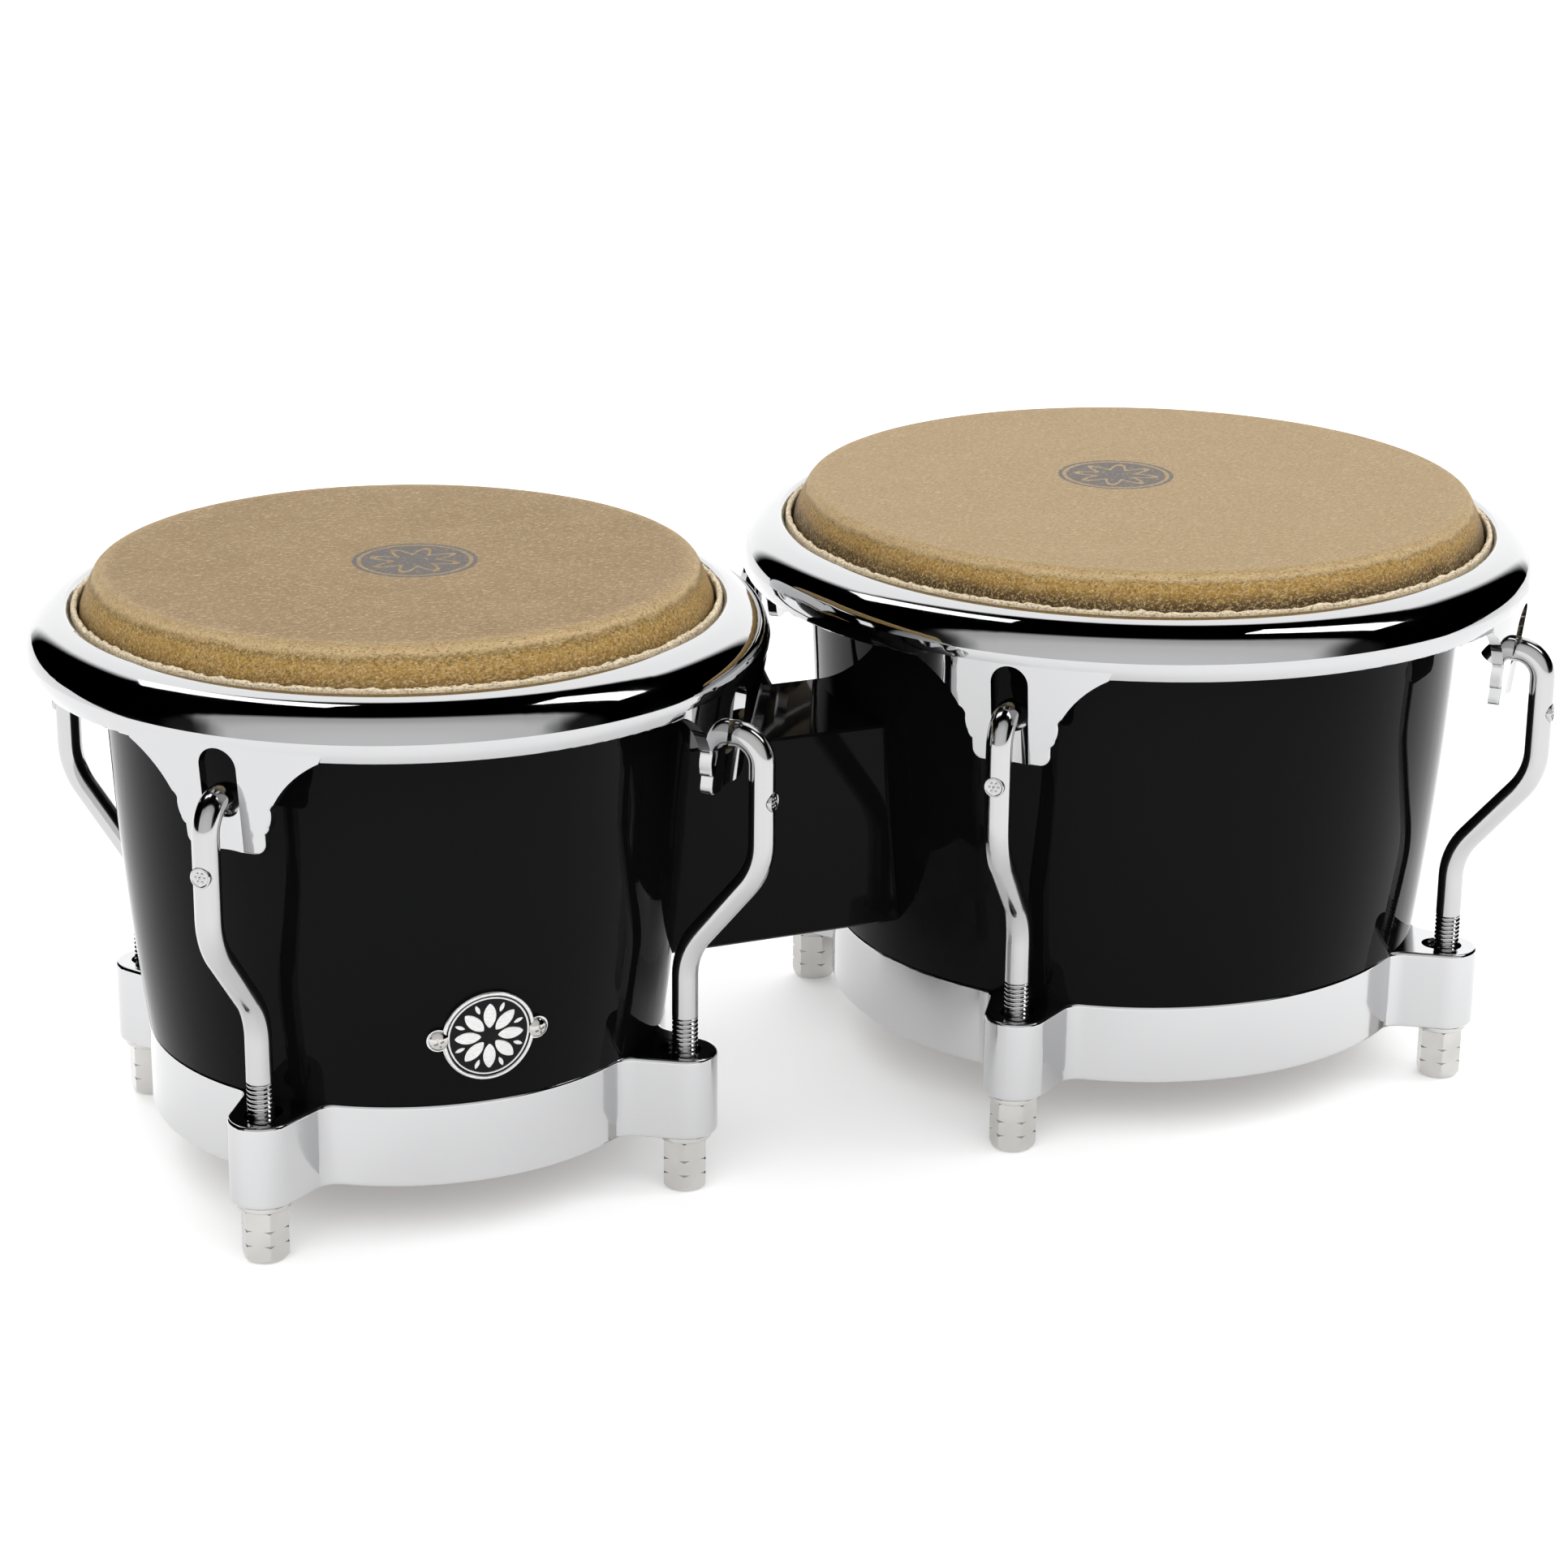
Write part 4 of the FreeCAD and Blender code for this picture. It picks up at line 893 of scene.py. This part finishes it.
def boss_parts():
    """The coin, its raised border and six dots, facing +Z."""
    edge = BOSS_RADIUS
    coin = turned([
        (edge, -2.4 * MM), (edge, 0.10 * MM), (edge - 0.08 * MM, 0.24 * MM),
        (edge - 0.22 * MM, 0.30 * MM), (edge - 0.46 * MM, 0.28 * MM),
        (edge - 0.60 * MM, 0.10 * MM), (edge - 0.75 * MM, 0.05 * MM), (0.2 * MM, 0.10 * MM),
    ], 48)
    parts = [coin]
    for number in range(6):
        turn = math.radians(60 * number)
        centre = Vector((1.35 * MM * math.cos(turn), 1.35 * MM * math.sin(turn), 0.0))
        dot = turned([(0.42 * MM, 0.0), (0.40 * MM, 0.15 * MM), (0.28 * MM, 0.24 * MM),
                      (0.05 * MM, 0.27 * MM)], 16)
        parts.append(([vertex + centre for vertex in dot[0]], dot[1]))
    parts.append(turned([(0.50 * MM, 0.0), (0.46 * MM, 0.18 * MM), (0.05 * MM, 0.27 * MM)], 16))
    return join(parts)


coin_vertices, coin_faces = boss_parts()
for drum in drums:
    for number, azimuth in enumerate(HOOK_AZIMUTHS, start=1):
        outward = (drum.at(1.0, azimuth, 0.0) - drum.axis).normalized()
        sideways = Vector((-outward.y, outward.x, 0.0))
        reach = drum.crown + BOLT_REACH + HOOK_OFFSET + ROD_RADIUS - BOSS_SINK
        seat = drum.at(reach, azimuth, BOSS_HEIGHT)
        frame_of = Matrix((sideways, Vector((0, 0, 1)), outward)).transposed()
        placed = [tuple(seat + frame_of @ vertex) for vertex in coin_vertices]
        name = "%s_boss_%d" % (drum.name, number)
        boss = show(name, closed_mesh(name, placed, coin_faces), finishes["chrome_rod"])
        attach(boss, drum.tension)
print("bosses: 8, each", len(coin_faces), "faces")

# %% [markdown]
# ## The badge
# The badge is a thin plate bent to the shell, black enamel with metal left bare: a rounded
# border, a thin flat ring inside it and a plain rosette of eight petals. The raised parts are
# drawn flat, as distances across and up from the badge's centre, and then wrapped on to the
# plate. The plate's own mesh says where its face is: it is the largest distance from the drum's
# axis, once the shell's lean is taken out.

# %% Raise the badge's border and rosette
BADGE_AZIMUTH = math.radians(-91.3)
BADGE_HEIGHT = 66.7 * MM
BADGE_SLOPE = 0.095
small = drums[0]
plate = frame["nodes"]["badge_plate"]
plate_points = np.array([vertex.co for vertex in plate.data.vertices])
away = np.hypot(plate_points[:, 0] - small.axis.x, plate_points[:, 1] - small.axis.y)
FACE_RADIUS = float((away - BADGE_SLOPE * (plate_points[:, 2] - BADGE_HEIGHT)).max())


def on_badge(across, up, lift):
    """Place on the badge: mm across and up from its centre and above its face."""
    radius = FACE_RADIUS + BADGE_SLOPE * up + lift
    turn = BADGE_AZIMUTH + across / FACE_RADIUS
    return (small.axis.x + radius * math.cos(turn), small.axis.y + radius * math.sin(turn),
            BADGE_HEIGHT + up)


def relief(outlines):
    """Closed relief from matching outlines, each a list of (across, up, lift)."""
    steps = len(outlines[0])
    vertices = [on_badge(*point) for outline in outlines for point in outline]
    faces = []
    for row in range(len(outlines) - 1):
        for step in range(steps):
            after = (step + 1) % steps
            faces.append((row * steps + step, row * steps + after,
                          (row + 1) * steps + after, (row + 1) * steps + step))
    return vertices, faces, steps


def border(inner, outer, height, steps=160):
    """A raised ring with rounded shoulders."""
    soft = min(0.25 * MM, (outer - inner) * 0.3)
    profile = [(outer, -0.3 * MM), (outer, height - soft), (outer - soft, height),
               (inner + soft, height), (inner, height - soft), (inner, -0.3 * MM)]
    outlines = []
    for radius, lift in profile:
        turns = [2 * math.pi * step / steps for step in range(steps)]
        outlines.append([(radius * math.cos(t), radius * math.sin(t), lift) for t in turns])
    outlines.append(outlines[0])
    vertices, faces, _ = relief(outlines)
    return vertices, faces


def petal(direction, near, far, half_width, height, steps=40):
    """A pointed petal that lies along one direction from the centre."""
    middle, half = (near + far) / 2, (far - near) / 2

    def outline(shrink, lift):
        points = []
        for step in range(steps):
            t = 2 * math.pi * step / steps
            along = half * math.cos(t) * shrink
            wide = half_width * math.copysign(abs(math.sin(t)) ** 1.5, math.sin(t)) * shrink
            reach = middle + along
            points.append((reach * math.cos(direction) - wide * math.sin(direction),
                           reach * math.sin(direction) + wide * math.cos(direction), lift))
        return points

    vertices, faces, count = relief([outline(1.0, -0.3 * MM), outline(1.0, height * 0.6),
                                     outline(0.90, height)])
    faces.append(tuple(2 * count + step for step in range(count)))
    faces.append(tuple(reversed(range(count))))
    return vertices, faces


def badge_metal():
    material, tree, shader = new_finish("badge_metal")
    place = place_of(tree)
    shader.inputs["Metallic"].default_value = 1.0
    satin = speckle(tree, place, 0.3 * MM, 2.0, stretch=(0.2, 1.0, 1.0))
    link(tree, ramp(tree, satin, [(0.3, (0.62, 0.62, 0.62)), (0.7, (0.76, 0.76, 0.75))]),
         shader.inputs["Base Color"])
    link(tree, calculate(tree, "MULTIPLY_ADD", satin, 0.15, 0.22), shader.inputs["Roughness"])
    return material


def badge_enamel():
    """Black enamel on the disc, bare metal on the two screw ears and round the edge."""
    material, tree, shader = new_finish("badge_enamel")
    place = place_of(tree)
    centre = on_badge(0.0, 0.0, 0.0)
    apart = tree.nodes.new("ShaderNodeVectorMath")
    apart.operation = "DISTANCE"
    apart.inputs[1].default_value = centre
    link(tree, place, apart.inputs[0])
    bare = calculate(tree, "GREATER_THAN", apart.outputs["Value"], 13.2 * MM)
    worn = speckle(tree, place, 0.6 * MM, 3.0)
    metal = ramp(tree, worn, [(0.3, (0.60, 0.60, 0.60)), (0.7, (0.74, 0.74, 0.73))])
    link(tree, blend_colours(tree, bare, (0.004, 0.004, 0.005), metal),
         shader.inputs["Base Color"])
    link(tree, bare, shader.inputs["Metallic"])
    link(tree, calculate(tree, "MULTIPLY_ADD", worn, 0.12, 0.08), shader.inputs["Roughness"])
    shader.inputs["Specular IOR Level"].default_value = 0.12
    return material


finishes["badge_metal"] = badge_enamel()
bright = badge_metal()
edge_parts = [border(12.95 * MM, 14.05 * MM, 0.50 * MM), border(11.75 * MM, 12.60 * MM, 0.14 * MM)]
petals = [petal(math.radians(45 * k), 2.6 * MM, 10.4 * MM, 1.9 * MM, 0.22 * MM) for k in range(8)]
leaves = [petal(math.radians(45 * k + 22.5), 8.0 * MM, 11.1 * MM, 0.62 * MM, 0.16 * MM)
          for k in range(8)]
for name, parts in (("badge_border", edge_parts), ("badge_rosette", petals + leaves)):
    piece = show(name, closed_mesh(name, *join(parts)), bright, smooth=False)
    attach(piece, "root")
print("badge face at %.2f mm from the axis" % (FACE_RADIUS / MM))

# %% [markdown]
# ## Finishes on the CAD nodes
# The turned, cast and bent pieces are already the right shape, so they keep their meshes and only
# get a finish. The record names a material slot for every node, so a loop hands them out.

# %% Dress the CAD nodes
slot_of = {entry["node"]: entry["material_slot"] for entry in frame["record"]["subparts"]}


def dress(thing, material):
    thing.data.materials.clear()
    thing.data.materials.append(material)


for node_name, thing in frame["nodes"].items():
    slot = slot_of[node_name]
    if slot == "shell_lacquer":
        dress(thing, shell_finish[node_name.split("_")[0]])
    elif node_name.endswith("_rim"):
        dress(thing, rim_finish)
    elif slot in finishes:
        dress(thing, finishes[slot])

# %% [markdown]
# ## The floor
# A plain pale sheet, a little uneven in tone, on which the drums stand on their eight nuts. It
# glows faintly, like the lit acrylic table of a product studio, so the shadows stay light. It
# runs on past the viewer, so it fills the picture from every side. It is marked as the stage,
# because it is not part of the object.

# %% Lay the floor


def floor_finish():
    material, tree, shader = new_finish("studio_floor")
    place = place_of(tree)
    tone = speckle(tree, place, 0.6, 2.0)
    link(tree, ramp(tree, tone, [(0.3, 0.84), (0.7, 0.88)]), shader.inputs["Base Color"])
    shader.inputs["Roughness"].default_value = 0.6
    shader.inputs["Specular IOR Level"].default_value = 0.1
    shader.inputs["Emission Color"].default_value = (1.0, 1.0, 1.0, 1.0)
    shader.inputs["Emission Strength"].default_value = 0.27
    return material


def floor():
    half, front, back = 12.0, -12.0, 14.0
    mesh = bpy.data.meshes.new("studio_floor")
    corners = [VIEW_RIGHT * side + VIEW_AWAY * depth
               for side, depth in ((-half, front), (half, front), (half, back), (-half, back))]
    mesh.from_pydata(corners, [], [(0, 1, 2, 3)])
    sheet = show("studio_floor", mesh, floor_finish(), smooth=False)
    sheet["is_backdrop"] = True
    return sheet


floor()

# %% [markdown]
# ## The size must not change
# The visual model has to fill the same box as the CAD model.

# %% Print how much the box grew
seen_low, seen_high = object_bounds()
grown = (seen_high - seen_low) - (cad_high - cad_low)
print("grown by mm:", [round(length / MM, 2) for length in grown])
